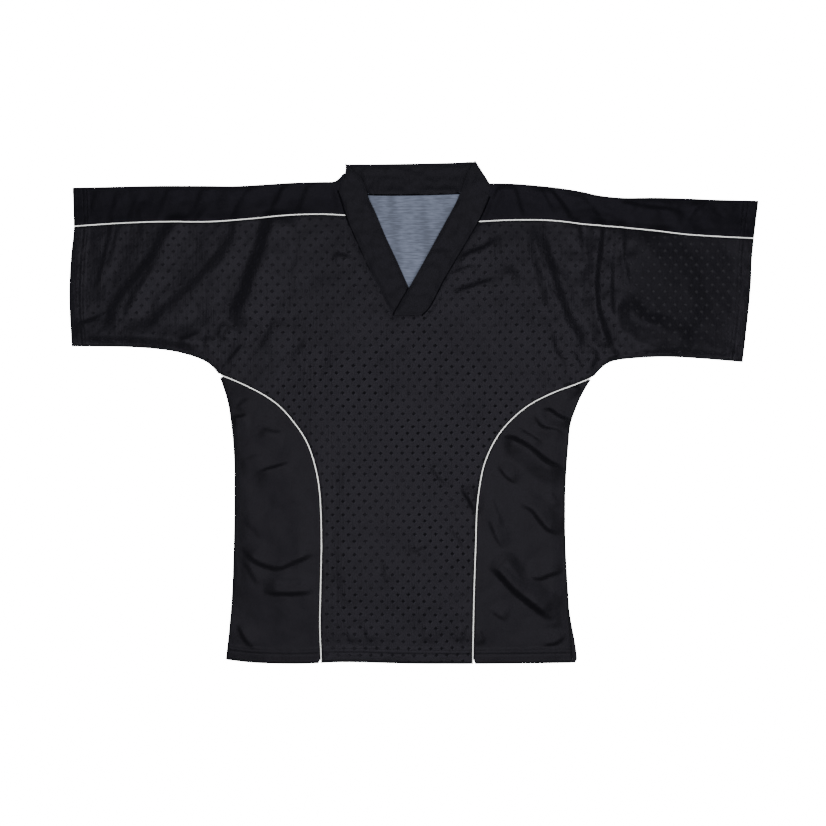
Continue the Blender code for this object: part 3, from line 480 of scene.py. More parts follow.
# Each crease is a line of dark slope: steep is the slope's width, gentle the width over which the cloth
# sinks back behind it, and high says on which side of the line's direction the cloth stands up (1 left).
CREASES = named_rows(
    "high steep gentle height path",
    # left sleeve
    (1, 24, 24, 5.2, ((-225, 333), (-236, 298), (-244, 272), (-256, 239), (-268, 202), (-285, 161),
     (-295, 142))),
    (1, 6, 10, 1.3, ((-299, 150), (-310, 134), (-315, 116))),
    (1, 6, 9, 1.2, ((-291, 144), (-300, 128), (-305, 113))),
    (1, 18, 13, 2.8, ((-376, 335), (-392, 298), (-412, 260), (-435, 229), (-460, 198), (-479, 170),
     (-487, 125))),
    (1, 12, 13, 2.2, ((-407, 247), (-423, 221), (-445, 190), (-457, 165), (-462, 137))),
    (1, 5.5, 9, 1.3, ((-475, 333), (-484, 292), (-492, 255), (-502, 216), (-512, 190))),
    (1, 5, 9, 1.0, ((-464, 322), (-475, 281), (-485, 244), (-495, 215))),
    (1, 16, 20, 1.9, ((-273, 338), (-287, 298), (-296, 273), (-324, 236), (-352, 205), (-383, 181),
     (-407, 157), (-423, 122))),
    (-1, 5, 9, 1.6, ((-542, 140), (-527, 144), (-511, 150), (-491, 160))),
    (-1, 5.5, 10, 1.6, ((-381, 118), (-358, 122), (-339, 134))),
    (1, 6, 9, 1.6, ((-332, 125), (-334, 102))),
    (1, 5, 9, 1.4, ((-271, 115), (-285, 96), (-301, 75))),
    (1, 9, 16, 1.2, ((-224, 157), (-233, 125), (-248, 97))),
    (1, 12, 20, 1.0, ((-213, 340), (-208, 298), (-203, 255), (-212, 202))),
    (1, 10, 16, 1.0, ((-176, 337), (-181, 295), (-185, 258), (-197, 215))),
    (1, 7, 12, 1.0, ((-440, 339), (-435, 297), (-432, 270))),
    (1, 8, 14, 0.9, ((-331, 332), (-355, 298), (-367, 281))),
    # right sleeve
    (-1, 15, 12, 3.2, ((200, 302), (206, 280), (220, 234), (233, 191), (246, 158), (264, 125), (272, 91))),
    (-1, 6.5, 8, 1.4, ((190, 302), (196, 278), (206, 234), (215, 203), (224, 165))),
    (-1, 6, 10, 1.3, ((221, 132), (228, 99), (246, 78))),
    (-1, 10, 11, 4.4, ((305, 319), (300, 277), (295, 237), (293, 198), (297, 158), (308, 125), (318, 96))),
    (-1, 8, 9, 1.9, ((321, 312), (319, 270), (317, 224), (317, 175), (326, 138))),
    (-1, 8, 10, 2.2, ((333, 322), (335, 280), (337, 244), (347, 194))),
    (-1, 9, 13, 1.4, ((258, 324), (266, 283), (274, 239), (274, 217))),
    (-1, 26, 16, 7.0, ((334, 189), (352, 172), (374, 155), (410, 142), (452, 134))),
    (-1, 38, 60, 3.4, ((376, 303), (405, 273), (427, 250), (442, 217), (461, 171), (468, 132))),
    (-1, 12, 22, 0.9, ((344, 311), (369, 277), (389, 250), (399, 224))),
    (-1, 6, 9, 1.8, ((289, 109), (291, 89), (279, 64))),
    (-1, 5, 9, 1.5, ((252, 106), (266, 76), (270, 64))),
    (-1, 5, 9, 1.6, ((326, 99), (318, 82))),
    (-1, 8, 12, 2.3, ((60, 240), (86, 255), (112, 265), (140, 285))),
    (-1, 7, 12, 1.8, ((53, 191), (80, 199), (109, 209), (139, 217))),
    (-1, 16, 20, 2.0, ((136, 234), (159, 224), (172, 204))),
    # right shoulder
    (1, 6, 7, 1.8, ((141, 374), (131, 352), (119, 331), (112, 304))),
    (-1, 6, 8, 1.3, ((155, 380), (162, 356), (170, 330), (177, 302))),
    (-1, 7, 9, 2.1, ((205, 380), (218, 358), (238, 331), (258, 302))),
    (-1, 6, 9, 1.4, ((191, 380), (203, 357), (218, 331), (231, 302))),
    (-1, 8, 11, 2.3, ((322, 339), (369, 329), (415, 323), (437, 310))),
    (1, 7, 9, 1.6, ((434, 296), (447, 320), (465, 336), (484, 352))),
    (-1, 8, 12, 1.1, ((255, 368), (270, 346), (288, 322), (304, 296))),
    # left shoulder
    (1, 6, 8, 0.7, ((-498, 372), (-508, 345), (-520, 315), (-530, 290))),
    (1, 6, 8, 0.6, ((-433, 374), (-442, 345), (-452, 318), (-462, 290))),
    (1, 6, 8, 0.9, ((-163, 384), (-172, 355), (-184, 325), (-194, 298))),
    (1, 6, 8, 1.1, ((-201, 384), (-211, 356), (-224, 330), (-236, 298))),
    (1, 6, 8, 1.2, ((-128, 384), (-122, 359), (-116, 335), (-110, 300))),
    (1, 7, 10, 1.0, ((-247, 384), (-263, 358), (-280, 330), (-296, 296))),
    (1, 6, 9, 0.7, ((-466, 372), (-476, 340), (-486, 310), (-494, 288))),
    (1, 8, 12, 0.8, ((-326, 384), (-338, 352), (-352, 320), (-363, 292))),
    (1, 7, 11, 0.7, ((-382, 380), (-394, 350), (-408, 318), (-419, 290))),
    # body
    (1, 6.5, 11, 2.9, ((70, -117), (86, -136), (100, -166))),
    (1, 7, 13, 1.3, ((21, -78), (35, -98), (55, -121))),
    (1, 9, 18, 0.7, ((-40, -135), (-42, -168), (-43, -204))),
    (-1, 12, 22, 0.8, ((-8, 110), (-7, 57), (-5, 4))),
    (1, 10, 18, 1.0, ((40, 78), (39, 49), (42, 20))),
    (1, 8, 16, 1.0, ((74, 18), (84, -4), (95, -33))),
    (1, 16, 30, 0.9, ((-114, -78), (-120, -127), (-123, -184), (-119, -258), (-104, -327))),
    (1, 14, 24, 0.8, ((-135, 123), (-138, 82), (-149, 45))),
    (1, 7, 12, 1.0, ((45, -172), (70, -200), (84, -229))),
    (1, 7, 12, 1.0, ((-82, -335), (-71, -368))),
    (1, 7, 12, 1.0, ((16, -333), (14, -366))),
    (-1, 6, 10, 1.1, ((84, -335), (78, -368))),
    (1, 6, 10, 0.9, ((-106, -343), (-102, -368))),
    (1, 8, 14, 0.8, ((-49, -225), (-47, -274))),
    (1, 6, 12, 1.1, ((-8, -225), (29, -208))),
    # under the arms and beside the collar
    (1, 13, 14, 2.9, ((-544, 117), (-457, 117), (-399, 113), (-361, 105), (-338, 94))),
    (1, 9, 14, 1.8, ((345, 97), (407, 99), (465, 96), (522, 91))),
    (-1, 6, 10, 1.4, ((56, 222), (80, 231), (108, 239))),
    (-1, 12, 20, 0.9, ((-203, 79), (-178, 109), (-166, 140))),
    (-1, 6, 9, 1.7, ((-132, 253), (-114, 252), (-95, 246))),
    # left side piece
    (-1, 5, 9, 1.7, ((-294, -6), (-278, -5), (-262, -1))),
    (-1, 7, 12, 1.0, ((-286, 6), (-272, 19), (-255, 26))),
    (-1, 8, 13, 1.3, ((-241, -20), (-226, -29), (-205, -30))),
    (-1, 6, 14, 1.9, ((-258, -97), (-231, -88), (-217, -84), (-191, -76))),
    (-1, 8, 12, 0.9, ((-282, -76), (-262, -71), (-239, -65))),
    (1, 10, 16, 2.8, ((-278, -211), (-255, -235), (-220, -248), (-191, -239), (-153, -222))),
    (1, 9, 14, 2.6, ((-246, -282), (-228, -287), (-199, -288), (-153, -286))),
    (1, 9, 14, 1.1, ((-277, -226), (-262, -251), (-244, -281))),
    (1, 7, 12, 1.9, ((-283, -333), (-269, -362), (-249, -379))),
    (1, 10, 16, 0.8, ((-228, -155), (-199, -144), (-170, -138))),
    (1, 9, 15, 0.7, ((-275, -167), (-255, -186), (-242, -204))),
    (1, 9, 14, 0.8, ((-228, -269), (-199, -265), (-162, -266))),
    # right side piece
    (-1, 7, 11, 2.6, ((232, 41), (253, 45), (273, 34))),
    (-1, 6.5, 11, 2.6, ((195, 4), (215, 6), (234, -6), (260, -14))),
    (-1, 6.5, 11, 1.9, ((189, 2), (203, -20), (227, -26), (249, -37))),
    (-1, 9.5, 15, 4.2, ((135, -37), (159, -40), (185, -54), (212, -76), (243, -91))),
    (-1, 6, 10, 1.5, ((165, -23), (193, -39), (210, -52))),
    (1, 6.5, 12, 1.7, ((129, -78), (148, -103), (169, -115))),
    (1, 9, 13, 2.7, ((161, -143), (185, -154), (200, -172), (215, -187), (241, -195))),
    (1, 12, 17, 4.6, ((115, -244), (133, -255), (159, -283), (189, -307), (223, -333))),
    (1, 7, 13, 1.9, ((172, -255), (197, -265), (219, -258), (245, -250))),
    (1, 7, 12, 1.3, ((117, -163), (131, -200), (148, -222))),
    (-1, 7, 12, 1.0, ((122, -128), (137, -165), (144, -187))),
    (1, 7, 12, 1.2, ((118, -311), (133, -323), (152, -331))),
    (1, 7, 12, 1.8, ((200, -371), (227, -367), (245, -352))),
    (1, 8, 12, 1.0, ((131, -224), (156, -250), (176, -270))),
    (-1, 10, 14, 1.0, ((228, -311), (234, -343))),
    (-1, 9, 13, 0.8, ((217, -120), (234, -148))),
    (-1, 7, 12, 1.1, ((104, -339), (115, -368))),
)
SLUMP = 0.85  # share of its height that a crease keeps once the cloth has settled
SLACK = 2.2  # the cloth sinks back over this many times a crease's gentle width

# Wide places where the cloth stands off the layer below.
SWELLINGS = named_rows(
    "x y across along height",
    (-160, -200, 85, 210, 1.4),
    (385, 215, 80, 110, 2.2),
)
FADE = 30.0  # a crease fades out over this length at each end
SEAM_FADE = 16.0  # and it dies out this far past the shoulder seam
SHOULDER_SEAM_Y = (302.0, 318.0)  # a crease whose middle lies between these crosses that seam whole
STITCH_INSETS = (15.5, 21.5)  # the two needle rows of a hem, from its edge
GROOVE = 0.35  # depth of the needle rows in the cloth
GROOVE_HALF = 1.3  # and half their width
STITCH_ROW_STEP = 2.6
ROW_CLEARANCE = 1.2  # least distance of the needle rows' points from an outline
FOOT_POINTS = 14  # across the foot of the neckline
EDGE_SHARE = 0.55  # share of its thickness that the cloth keeps at its very edge


def smoothstep(share):
    share = np.clip(share, 0.0, 1.0)
    return share * share * (3 - 2 * share)


def place_on(path, points):
    """Distance along a path and signed distance beside it (left is positive) of the nearest place on it."""
    lengths = lengths_along(path)
    best = np.full(len(points), np.inf)
    along = np.zeros(len(points))
    aside = np.zeros(len(points))
    for start, end, length in zip(path, path[1:], lengths):
        step = end - start
        size = np.linalg.norm(step)
        if size < 1e-6:
            continue
        step = step / size
        to_point = points - start
        share = np.clip(to_point @ step, 0.0, size)
        cross = step[0] * to_point[:, 1] - step[1] * to_point[:, 0]
        gap = np.linalg.norm(to_point - share[:, None] * step, axis=1)
        nearer = gap < best
        best[nearer] = gap[nearer]
        along[nearer] = length + share[nearer]
        aside[nearer] = np.copysign(gap, cross)[nearer]
    return along, aside, lengths[-1]


def ramp(share):
    """An even slope from 0 to 1 with rounded ends."""
    share = np.clip(share, 0.0, 1.0)
    end = 0.25
    low, high = share**2 / (2 * end), 1 - end - (1 - share) ** 2 / (2 * end)
    return np.where(share < end, low, np.where(share > 1 - end, high, share - end / 2)) / (1 - end)


def crumpled(points, size):
    """Uneven heights between -1 and 1 at each point, from bumps of about one size."""
    return np.array([noise.noise(Vector((x / size, y / size, size))) for x, y in points[:, :2]])


def relief(points):
    """How far the creases and the cloth's own unevenness lift it at each point."""
    x, y = points.T
    # slow waves across the whole cloth, a few tenths of a millimetre high, with crumples on them
    height = 0.30 * np.sin(x / 61 + 0.7) * np.sin(y / 47 + 1.1)
    height += 0.38 * np.sin(x / 23 + y / 41 + 2.0) * np.sin(y / 27 - x / 70)
    height += 0.20 * np.sin(x / 9.1 - y / 17 + 0.4) * np.sin(y / 13 + x / 31)
    in_sleeve = smoothstep((np.abs(x) - 120) / 150) * smoothstep((y - 40) / 60)
    coarser = 0.35 + np.where(x < 0, 0.5, 0.8) * in_sleeve  # the sleeves are the most crumpled
    height += coarser * (0.9 * crumpled(points, 24.0) + 0.32 * crumpled(points, 9.0))
    for swelling in SWELLINGS:
        away = ((x - swelling.x) / swelling.across) ** 2 + ((y - swelling.y) / swelling.along) ** 2
        height += swelling.height * np.exp(-away)
    seam_y = np.interp(x, front_seam_line[:, 0], front_seam_line[:, 1])
    past_seam = (y - seam_y) / SEAM_FADE
    for crease in CREASES:
        gentle = SLACK * crease.gentle
        reach = crease.steep + gentle + 1
        path = smooth_path(crease.path, COARSE_STEP)
        near = np.all((points > path.min(axis=0) - reach) & (points < path.max(axis=0) + reach), axis=1)
        if not near.any():
            continue
        along, aside, length = place_on(path, points[near])
        from_peak = crease.high * aside - crease.steep / 2
        share = np.where(from_peak < 0, -from_peak / crease.steep, from_peak / gentle)
        fade_length = min(FADE, 0.35 * length)
        fade = smoothstep(along / fade_length) * smoothstep((length - along) / fade_length)
        if path[:, 1].mean() < SHOULDER_SEAM_Y[0]:
            fade = fade * (1 - smoothstep(past_seam[near]))
        elif path[:, 1].mean() > SHOULDER_SEAM_Y[1]:
            fade = fade * smoothstep(1 + past_seam[near])
        height[near] += SLUMP * crease.height * fade * (1 - ramp(share))
    return height


front_seam_line = np.vstack([column(table, "front_seam_y") for table in (LEFT_SHOULDER, RIGHT_SHOULDER)])
side_seams = [edge[edge[:, 1] > VENT_TOP] for edge in (left_edge, right_edge)]
closed_seams = np.vstack([left_arm_seam, right_arm_seam, *side_seams])
open_edges = np.vstack([hem_edge, left_cuff, right_cuff])

# The collar's sewn edges on the front, from the crossing up to the shoulder's fold.
COLLAR_COLUMNS = "seam_x seam_y free_x free_y seam_z free_z"
LEFT_BAND = named_rows(
    COLLAR_COLUMNS,
    (-33.0, 155.5, 12.0, 155.5, 1.6, 1.5),
    (-52.0, 193.0, -6.5, 196.0, 1.6, 1.5),
    (-72.0, 233.0, -25.5, 239.0, 1.8, 1.5),
    (-90.5, 274.5, -45.0, 281.0, 2.0, 1.6),
    (-105.5, 309.5, -60.0, 317.0, 2.2, 1.8),
    (-114.5, 338.5, -72.0, 343.0, 2.8, 2.6),
    (-120.0, 354.5, -82.5, 372.0, 3.4, 3.3),
    (-123.5, 365.5, -109.5, 397.5, 3.6, 3.6),
)
RIGHT_BAND = named_rows(
    COLLAR_COLUMNS,
    (124.0, 361.5, 98.3, 402.0, 3.6, 3.6),
    (120.0, 345.0, 86.5, 383.0, 3.4, 3.4),
    (114.5, 330.5, 78.5, 362.5, 2.8, 2.8),
    (102.5, 305.5, 66.5, 333.5, 2.2, 2.6),
    (77.5, 263.0, 43.0, 290.5, 2.0, 3.0),
    (48.0, 213.5, 10.5, 231.0, 2.2, 3.9),
    (26.5, 172.0, -15.0, 186.5, 3.9, 3.9),
    (12.0, 155.5, -33.0, 155.5, 3.9, 3.9),
)
collar_left_seam, collar_right_seam = (
    smooth_path([(row.seam_x, row.seam_y) for row in band]) for band in (LEFT_BAND, RIGHT_BAND)
)
collar_seams = np.vstack(
    [smooth_path([(r.seam_x, r.seam_y, r.seam_z) for r in band]) for band in (LEFT_BAND, RIGHT_BAND)]
)
COLLAR_REACH = 13.0  # the front rises or sinks to the collar's seam within this distance
SEWN_UNDER = 0.2  # its top lies this far under the collar's lower face there
DITCH_DEPTH, DITCH_REACH = 0.7, 4.5  # and it dips beside the seam


def air_gap(points):
    """Clear height between the back and the front, which the seams and the collar hold."""
    to_seam = nearest_distances(points, closed_seams)
    gap = PINNED_GAP + smoothstep(to_seam / LOFT_REACH) * (LOFT - PINNED_GAP)
    gap = np.maximum(gap + smoothstep(to_seam / CREASE_REACH) * relief(points), LEAST_GAP)
    to_collar, index = nearest_on(collar_seams, points)
    held = smoothstep(1 - to_collar / COLLAR_REACH)
    gap += held * (collar_seams[index, 2] - SEWN_UNDER - CLOTH - gap)
    return np.maximum(gap - DITCH_DEPTH * smoothstep(1 - to_collar / DITCH_REACH), LEAST_GAP)


def front_thickness(points, edge):
    """One layer, thicker where the hem is turned up, with its two needle rows sunk in and its edge thin."""
    to_open = nearest_distances(points, open_edges)
    thickness = CLOTH + HEM_EXTRA * smoothstep((HEM_WIDTH + 1 - to_open) / 2)
    for inset in STITCH_INSETS:
        thickness -= GROOVE * smoothstep(1 - np.abs(to_open - inset) / GROOVE_HALF)
    to_edge = nearest_distances(points, edge)
    return thickness * (EDGE_SHARE + (1 - EDGE_SHARE) * np.sqrt(smoothstep(to_edge / ROUNDED_EDGE)))


def hem_rows(outline):
    """Rows of points along the needle rows of the hem and the cuffs, where they cross a piece."""
    insets = [inset + offset for inset in STITCH_INSETS for offset in (-GROOVE_HALF, 0.0, GROOVE_HALF)]
    rows = np.vstack(
        [
            stretch(beside(edge, inwards * inset), 2.0, -2.0, STITCH_ROW_STEP)
            for edge, inwards in ((hem_edge, 1), (left_cuff, 1), (right_cuff, -1))
            for inset in (*insets, HEM_WIDTH + 1)
        ]
    )
    low, high = outline.min(axis=0), outline.max(axis=0)
    rows = rows[np.all((rows > low + 1) & (rows < high - 1), axis=1)]
    return rows[inside(outline, rows) & (nearest_distances(rows, outline) > ROW_CLEARANCE)]


def inside(outline, points):
    """Whether each point lies within an outline, by counting the edges to its right."""
    result = np.zeros(len(points), bool)
    x, y = points.T
    for (ax, ay), (bx, by) in zip(outline, np.roll(outline, -1, axis=0)):
        crosses = (ay > y) != (by > y)
        if crosses.any():
            result ^= crosses & (x < ax + (y - ay) * (bx - ax) / (by - ay if by != ay else 1e-9))
    return result


def front_layer(name, outline, step, materials):
    """A piece of the front, which lies on the back with its creases and its stitched hem."""
    flat, triangles = flat_cut(outline, step, [hem_rows(outline)])
    low = CLOTH + air_gap(flat)
    high = low + front_thickness(flat, outline)
    return cut_piece(name, flat, triangles, low, high, materials, False)


front_seams = shoulder_seams("front_seam_y")
foot_y = LEFT_BAND[0].seam_y + TUCK
down, up = (
    side[(side[:, 1] > foot_y + CORNER_GAP) & (side[:, 1] < seam_end[1] - PIPED_SEAM - CORNER_GAP)]
    for side, seam_end in (
        (beside(collar_left_seam, -TUCK)[::-1], front_seams[0][-1]),
        (beside(collar_right_seam, -TUCK)[::-1], front_seams[1][0]),
    )
)
foot_xs = np.linspace(LEFT_BAND[0].seam_x + TUCK, RIGHT_BAND[-1].seam_x - TUCK, FOOT_POINTS)
foot = np.column_stack([foot_xs, np.full(len(foot_xs), foot_y)])
front_outline = t_outline(front_seams, np.vstack([down, foot, up]))
front = front_layer("front", front_outline, FRONT_STEP, [jacquard, reverse])
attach(front, "root")
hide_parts("front_body")

# Side pieces. Plain smooth black knit, front and back, joined at the side seam, which is open at the vents.
# Their curved seams to the front and back are piped, and their folds run slantwise to the side seam.

SIDE_STEP = 2.6
SIDE_BACK_STEP = 8.0
SIDE_PIT_GAPS = (6.0, 8.0)  # length left out at the armpit, of a side piece's edge and of its curved seam
BACK_VENT_FLARE = 7.5  # how far the back shows past the front at the foot of the right vent
PLAIN_LIGHT, PLAIN_DARK = "060608", "040405"

# Plain black polyester interlock: smooth and even, with a soft sheen and hardly any grain.
plain, tree, shader, place = new_cloth("polyester_interlock", 0.42, 0.055, VIOLET_SHEEN)
mottle = {"Scale": 90.0, "Detail": 3.0, "Roughness": 0.6}
mottle = add_node(tree, "ShaderNodeTexNoise", mottle, {"Vector": place})
wales = add_node(tree, "ShaderNodeMapping", {"Scale": (420.0, 30.0, 1.0)}, {"Vector": place})
wales = add_node(tree, "ShaderNodeTexNoise", {"Scale": 1.0, "Detail": 1.0}, {"Vector": wales})
dye(tree, shader, mottle, PLAIN_DARK, PLAIN_LIGHT, wales, 0.2, 0.0003)


def side_outline(edge, seam, outwards):
    """A side piece: its outer edge, its hem and its curved seam. outwards is -1 on the left."""
    edge = stretch(edge, SIDE_PIT_GAPS[0], 0)
    seam = stretch(beside(seam, PIPED_SEAM * outwards), SIDE_PIT_GAPS[1], 0)
    low_x, high_x = sorted((edge[-1, 0], seam[-1, 0]))
    hem = hem_between(low_x, high_x)
    return np.vstack([edge, (hem if outwards < 0 else hem[::-1])[1:-1], seam[::-1]])


vent_share = np.clip((VENT_TOP - right_edge[:, 1]) / (VENT_TOP - right_edge[-1, 1]), 0, 1)
flared_edge = right_edge + np.column_stack([BACK_VENT_FLARE * smoothstep(vent_share), 0 * vent_share])

for side, front_edge, back_edge, seam, outwards in (
    ("left", left_edge, left_edge, left_side_seam, -1),
    ("right", right_edge, flared_edge, right_side_seam, 1),
):
    outline = side_outline(front_edge, seam, outwards)
    piece = front_layer(f"side_front_{side}.cloth", outline, SIDE_STEP, [plain])
    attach(piece, "root")
    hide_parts(f"side_front_{side}")
    flat, triangles = flat_cut(side_outline(back_edge, seam, outwards), SIDE_BACK_STEP)
    piece = cut_piece(
        f"side_back_{side}.cloth", flat, triangles, np.zeros(len(flat)), np.full(len(flat), CLOTH),
        [plain], True,
    )
    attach(piece, "root")
    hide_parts(f"side_back_{side}")

# Shoulder pieces. Plain black knit, one strip for each sleeve that goes from the piped front seam over the
# sleeve's top fold to the piped back seam.

FOLD_GAP = 3.0  # inside the rounded fold
FOLD_REACH = 30.0
FOLD_EDGE = 12.0  # the creases run out over this width at the fold
FOLD_ROWS = 11
SHOULDER_ROWS = 22
SHOULDER_BACK_ROWS = 8
# Stations along the strip: wide apart at the cuff's edge, close by the needle rows, then even to the neck.
CUFF_STEP, NEEDLE_START, NEEDLE_STEP = 2.6, 13.0, 0.65
SLEEVE_STATIONS = 137
COLLAR_FOLD = 2.8  # outer radius of the collar's own fold
FOLD_NECKS = (-108.0, 121.5)  # x of the neck ends at the fold
CUFF_ENDS = ((-541.5, -543.0, -541.5), (542.0, 548.6, 542.0))  # at the front seam, the fold, the back seam


def grid_faces(rows, columns):
    """Faces of a strip's closed shell: its outer grid, its inner grid and the rims between them."""
    count = rows * columns
    faces = []
    for i in range(rows - 1):
        for a in range(i * columns, (i + 1) * columns - 1):
            b = a + columns
            faces += [(a, b, b + 1, a + 1), (a + count, a + 1 + count, b + 1 + count, b + count)]
    rims = []
    for a in range(0, count - columns, columns):
        rims += [(a + columns, a), (a + columns - 1, a + 2 * columns - 1)]
    for a in range(columns - 1):
        rims += [(a, a + 1), (count - columns + a + 1, count - columns + a)]
    return faces + [(a, b, b + count, a + count) for a, b in rims]


def strip_piece(name, outer, inner, material):
    """A strip of cloth as a closed shell from matching grids of points on its two faces."""
    points = np.vstack([outer.reshape(-1, 3), inner.reshape(-1, 3)])
    faces = grid_faces(*outer.shape[:2])
    along, across = outer[1, 0] - outer[0, 0], outer[0, 1] - outer[0, 0]
    if np.cross(along, across) @ (outer[0, 0] - inner[0, 0]) < 0:
        faces = [face[::-1] for face in faces]
    return cloth_object(name, points, faces, [material], [0] * len(faces))


def inset_corner(row, hand):
    """The collar's corner, drawn in by its fold's radius, and the way its fold bulges. hand is -1 on the
    left and 1 on the right."""
    seam, free = np.array([row.seam_x, row.seam_y]), np.array([row.free_x, row.free_y])
    along = (free - seam) / np.linalg.norm(free - seam)
    outwards = hand * np.array([along[1], -along[0]])
    return seam - COLLAR_FOLD * outwards, free - COLLAR_FOLD * outwards, outwards


def meeting_x(edge, height, inside_x, outside_x):
    """The x where a row at a height meets the collar's edge, between one in the collar and one outside."""
    for _ in range(30):
        middle = (inside_x + outside_x) / 2
        if np.interp(middle, edge[:, 0], edge[:, 1]) < height(middle):
            inside_x = middle
        else:
            outside_x = middle
    return outside_x


# The shoulder pieces are the same knit, in a copy with less sheen and a more violet tint: painted shade, so
# they lie darker than the sides.
plain_shaded_copy = plain.copy()
plain_shaded_copy.name = "polyester_interlock_shaded_copy"
shaded_copy_shader = plain_shaded_copy.node_tree.nodes["Principled BSDF"]
shaded_copy_shader.inputs["Specular IOR Level"].default_value = 0.033
shaded_copy_shader.inputs["Specular Tint"].default_value = (0.80, 0.75, 1.0, 1.0)


def shoulder_piece(side, table, fold_neck, cuff_ends):
    """The strip as rows from cuff to neck: up the front, round the fold and down the back."""
    seam, fold, back_seam = (column(table, name) for name in ("front_seam_y", "fold_y", "back_seam_y"))
    if side == "left":
        front_edge = beside(collar_left_seam, -TUCK)[::-1]
        corner = inset_corner(LEFT_BAND[-1], -1)[0]
        back_edge = smooth_path([corner, *BACK_NECK_SEAM[:3]], COARSE_STEP)
    else:
        front_edge = beside(collar_right_seam, -TUCK)[::-1]
        corner = inset_corner(RIGHT_BAND[0], 1)[0]
        back_edge = smooth_path([*BACK_NECK_SEAM[2:], corner], COARSE_STEP)
    back_edge = beside(back_edge, TUCK)
    outer_radius, inner_radius = CLOTH + FOLD_GAP / 2, FOLD_GAP / 2
    length = abs(cuff_ends[1] - fold_neck)
    hem_end = HEM_WIDTH + 1
    stations = [
        np.arange(0, NEEDLE_START, CUFF_STEP),
        np.arange(NEEDLE_START, hem_end, NEEDLE_STEP),
        np.linspace(hem_end, length, SLEEVE_STATIONS),
    ]
    shares = np.concatenate(stations) / length

    def flat_row(up, cuff_x, collar_edge, own_seam):
        """A row from cuff to collar. up is its place between the seam (0) and the fold (1)."""

        def height(x):
            low = np.interp(x, own_seam[:, 0], own_seam[:, 1]) + PIPED_SEAM
            high = np.interp(x, fold[:, 0], fold[:, 1]) - outer_radius
            return low + up * (high - low)

        # the row meets the collar between these two, and its last quarter goes over to the fold's end
        neck_x = meeting_x(collar_edge, height, 0.5 * fold_neck, 1.15 * fold_neck)
        neck_x += smoothstep((up - 0.75) / 0.25) * (fold_neck - neck_x)
        xs = cuff_x + shares * (neck_x - cuff_x)
        return np.column_stack([xs, height(xs)])

    front_part = np.vstack(
        [
            flat_row(up, cuff_ends[0] + up * (cuff_ends[1] - cuff_ends[0]), front_edge, seam)
            for up in np.linspace(0, 1, SHOULDER_ROWS)
        ]
    )
    fold_y = np.interp(front_part[:, 0], fold[:, 0], fold[:, 1])
    near_fold = smoothstep(1 - (fold_y - front_part[:, 1]) / FOLD_REACH)
    gap = air_gap(front_part)
    gap += near_fold * (FOLD_GAP - gap)
    at_fold = smoothstep(1 - (fold_y - front_part[:, 1]) / FOLD_EDGE)
    gap = np.maximum(gap + (near_fold - at_fold) * relief(front_part), LEAST_GAP)
    to_collar, index = nearest_on(collar_seams, front_part)
    held = smoothstep(1 - to_collar / COLLAR_REACH) * (1 - near_fold**2)
    gap += held * (collar_seams[index, 2] - SEWN_UNDER - CLOTH - gap)
    cuff = left_cuff if side == "left" else right_cuff
    low = CLOTH + gap
    high = low + front_thickness(front_part, np.vstack([cuff, beside(seam, PIPED_SEAM)]))
    shape = (SHOULDER_ROWS, len(shares))
    outer = [np.column_stack([front_part, high]).reshape(*shape, 3)]
    inner = [np.column_stack([front_part, low]).reshape(*shape, 3)]

    xs = cuff_ends[1] + shares * (fold_neck - cuff_ends[1])
    centre_y = np.interp(xs, fold[:, 0], fold[:, 1]) - outer_radius
    centre_z = CLOTH + FOLD_GAP / 2
    extra = (outer[0][-1, :, 2] - inner[0][-1, :, 2]) - CLOTH
    for angle in np.linspace(math.pi / 2, -math.pi / 2, FOLD_ROWS + 2)[1:-1]:
        radius = outer_radius + extra * max(math.sin(angle), 0.0)
        for grid, r in ((outer, radius), (inner, np.full(len(xs), inner_radius))):
            grid.append(
                np.column_stack([xs, centre_y + r * math.cos(angle), centre_z + r * math.sin(angle)])[None]
            )
    for up in np.linspace(1, 0, SHOULDER_BACK_ROWS):
        row = flat_row(up, cuff_ends[2] + up * (cuff_ends[1] - cuff_ends[2]), back_edge, back_seam)
        outer.append(np.column_stack([row, np.zeros(len(row))])[None])
        inner.append(np.column_stack([row, np.full(len(row), CLOTH)])[None])
    return strip_piece(f"shoulder_{side}.cloth", np.vstack(outer), np.vstack(inner), plain_shaded_copy)


shoulders = {}
for side, table, fold_neck, cuff_ends in (
    ("left", LEFT_SHOULDER, FOLD_NECKS[0], CUFF_ENDS[0]),
    ("right", RIGHT_SHOULDER, FOLD_NECKS[1], CUFF_ENDS[1]),
):
    piece = shoulders[side] = shoulder_piece(side, table, fold_neck, cuff_ends)
    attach(piece, "root")
    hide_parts(f"shoulder_{side}")

# Collar. One strip of plain twill over interfacing, folded double, that goes from the crossing up round
# the neck and down again. At each shoulder it folds over, and behind the neck its inner face shows.

COLLAR_CLOTH = 2.0
COLLAR_STEP = 3.0
ACROSS_COLLAR = 19  # points across the strip
COLLAR_FOLD_ROWS = 11
PRESSED = 0.6  # share of its thickness that the strip loses along both edges
SEWN_PRESS, FOLD_PRESS = 0.09, 0.08  # widths of those edges, as shares of the strip
EVEN_EDGE = 0.15  # the crumples run out over this share of the strip at its folded edge
LEAST_COLLAR = 0.6  # thickness in the deepest crumple
FRONT_CRUMPLES = ((1.3, 17.0), (0.5, 7.0))  # height and width of the crumples in the front bands
BACK_CRUMPLES = ((1.5, 12.0), (0.8, 5.5))  # and behind the neck
FOOT_SHARE, FOOT_REACH = 0.4, 7.0  # share of the thickness at a front band's foot, and the way to the whole
UNDER_SHARE, UNDER_REACH = 0.3, 9.0  # and where the back band goes under the front bands' free edges
CORNER_BOW, BOW_REACH = 6.0, 30.0  # how far the fold at the left shoulder is bent, and over what length
COLLAR_LIGHT, COLLAR_DARK = "0b0b0e", "08080a"

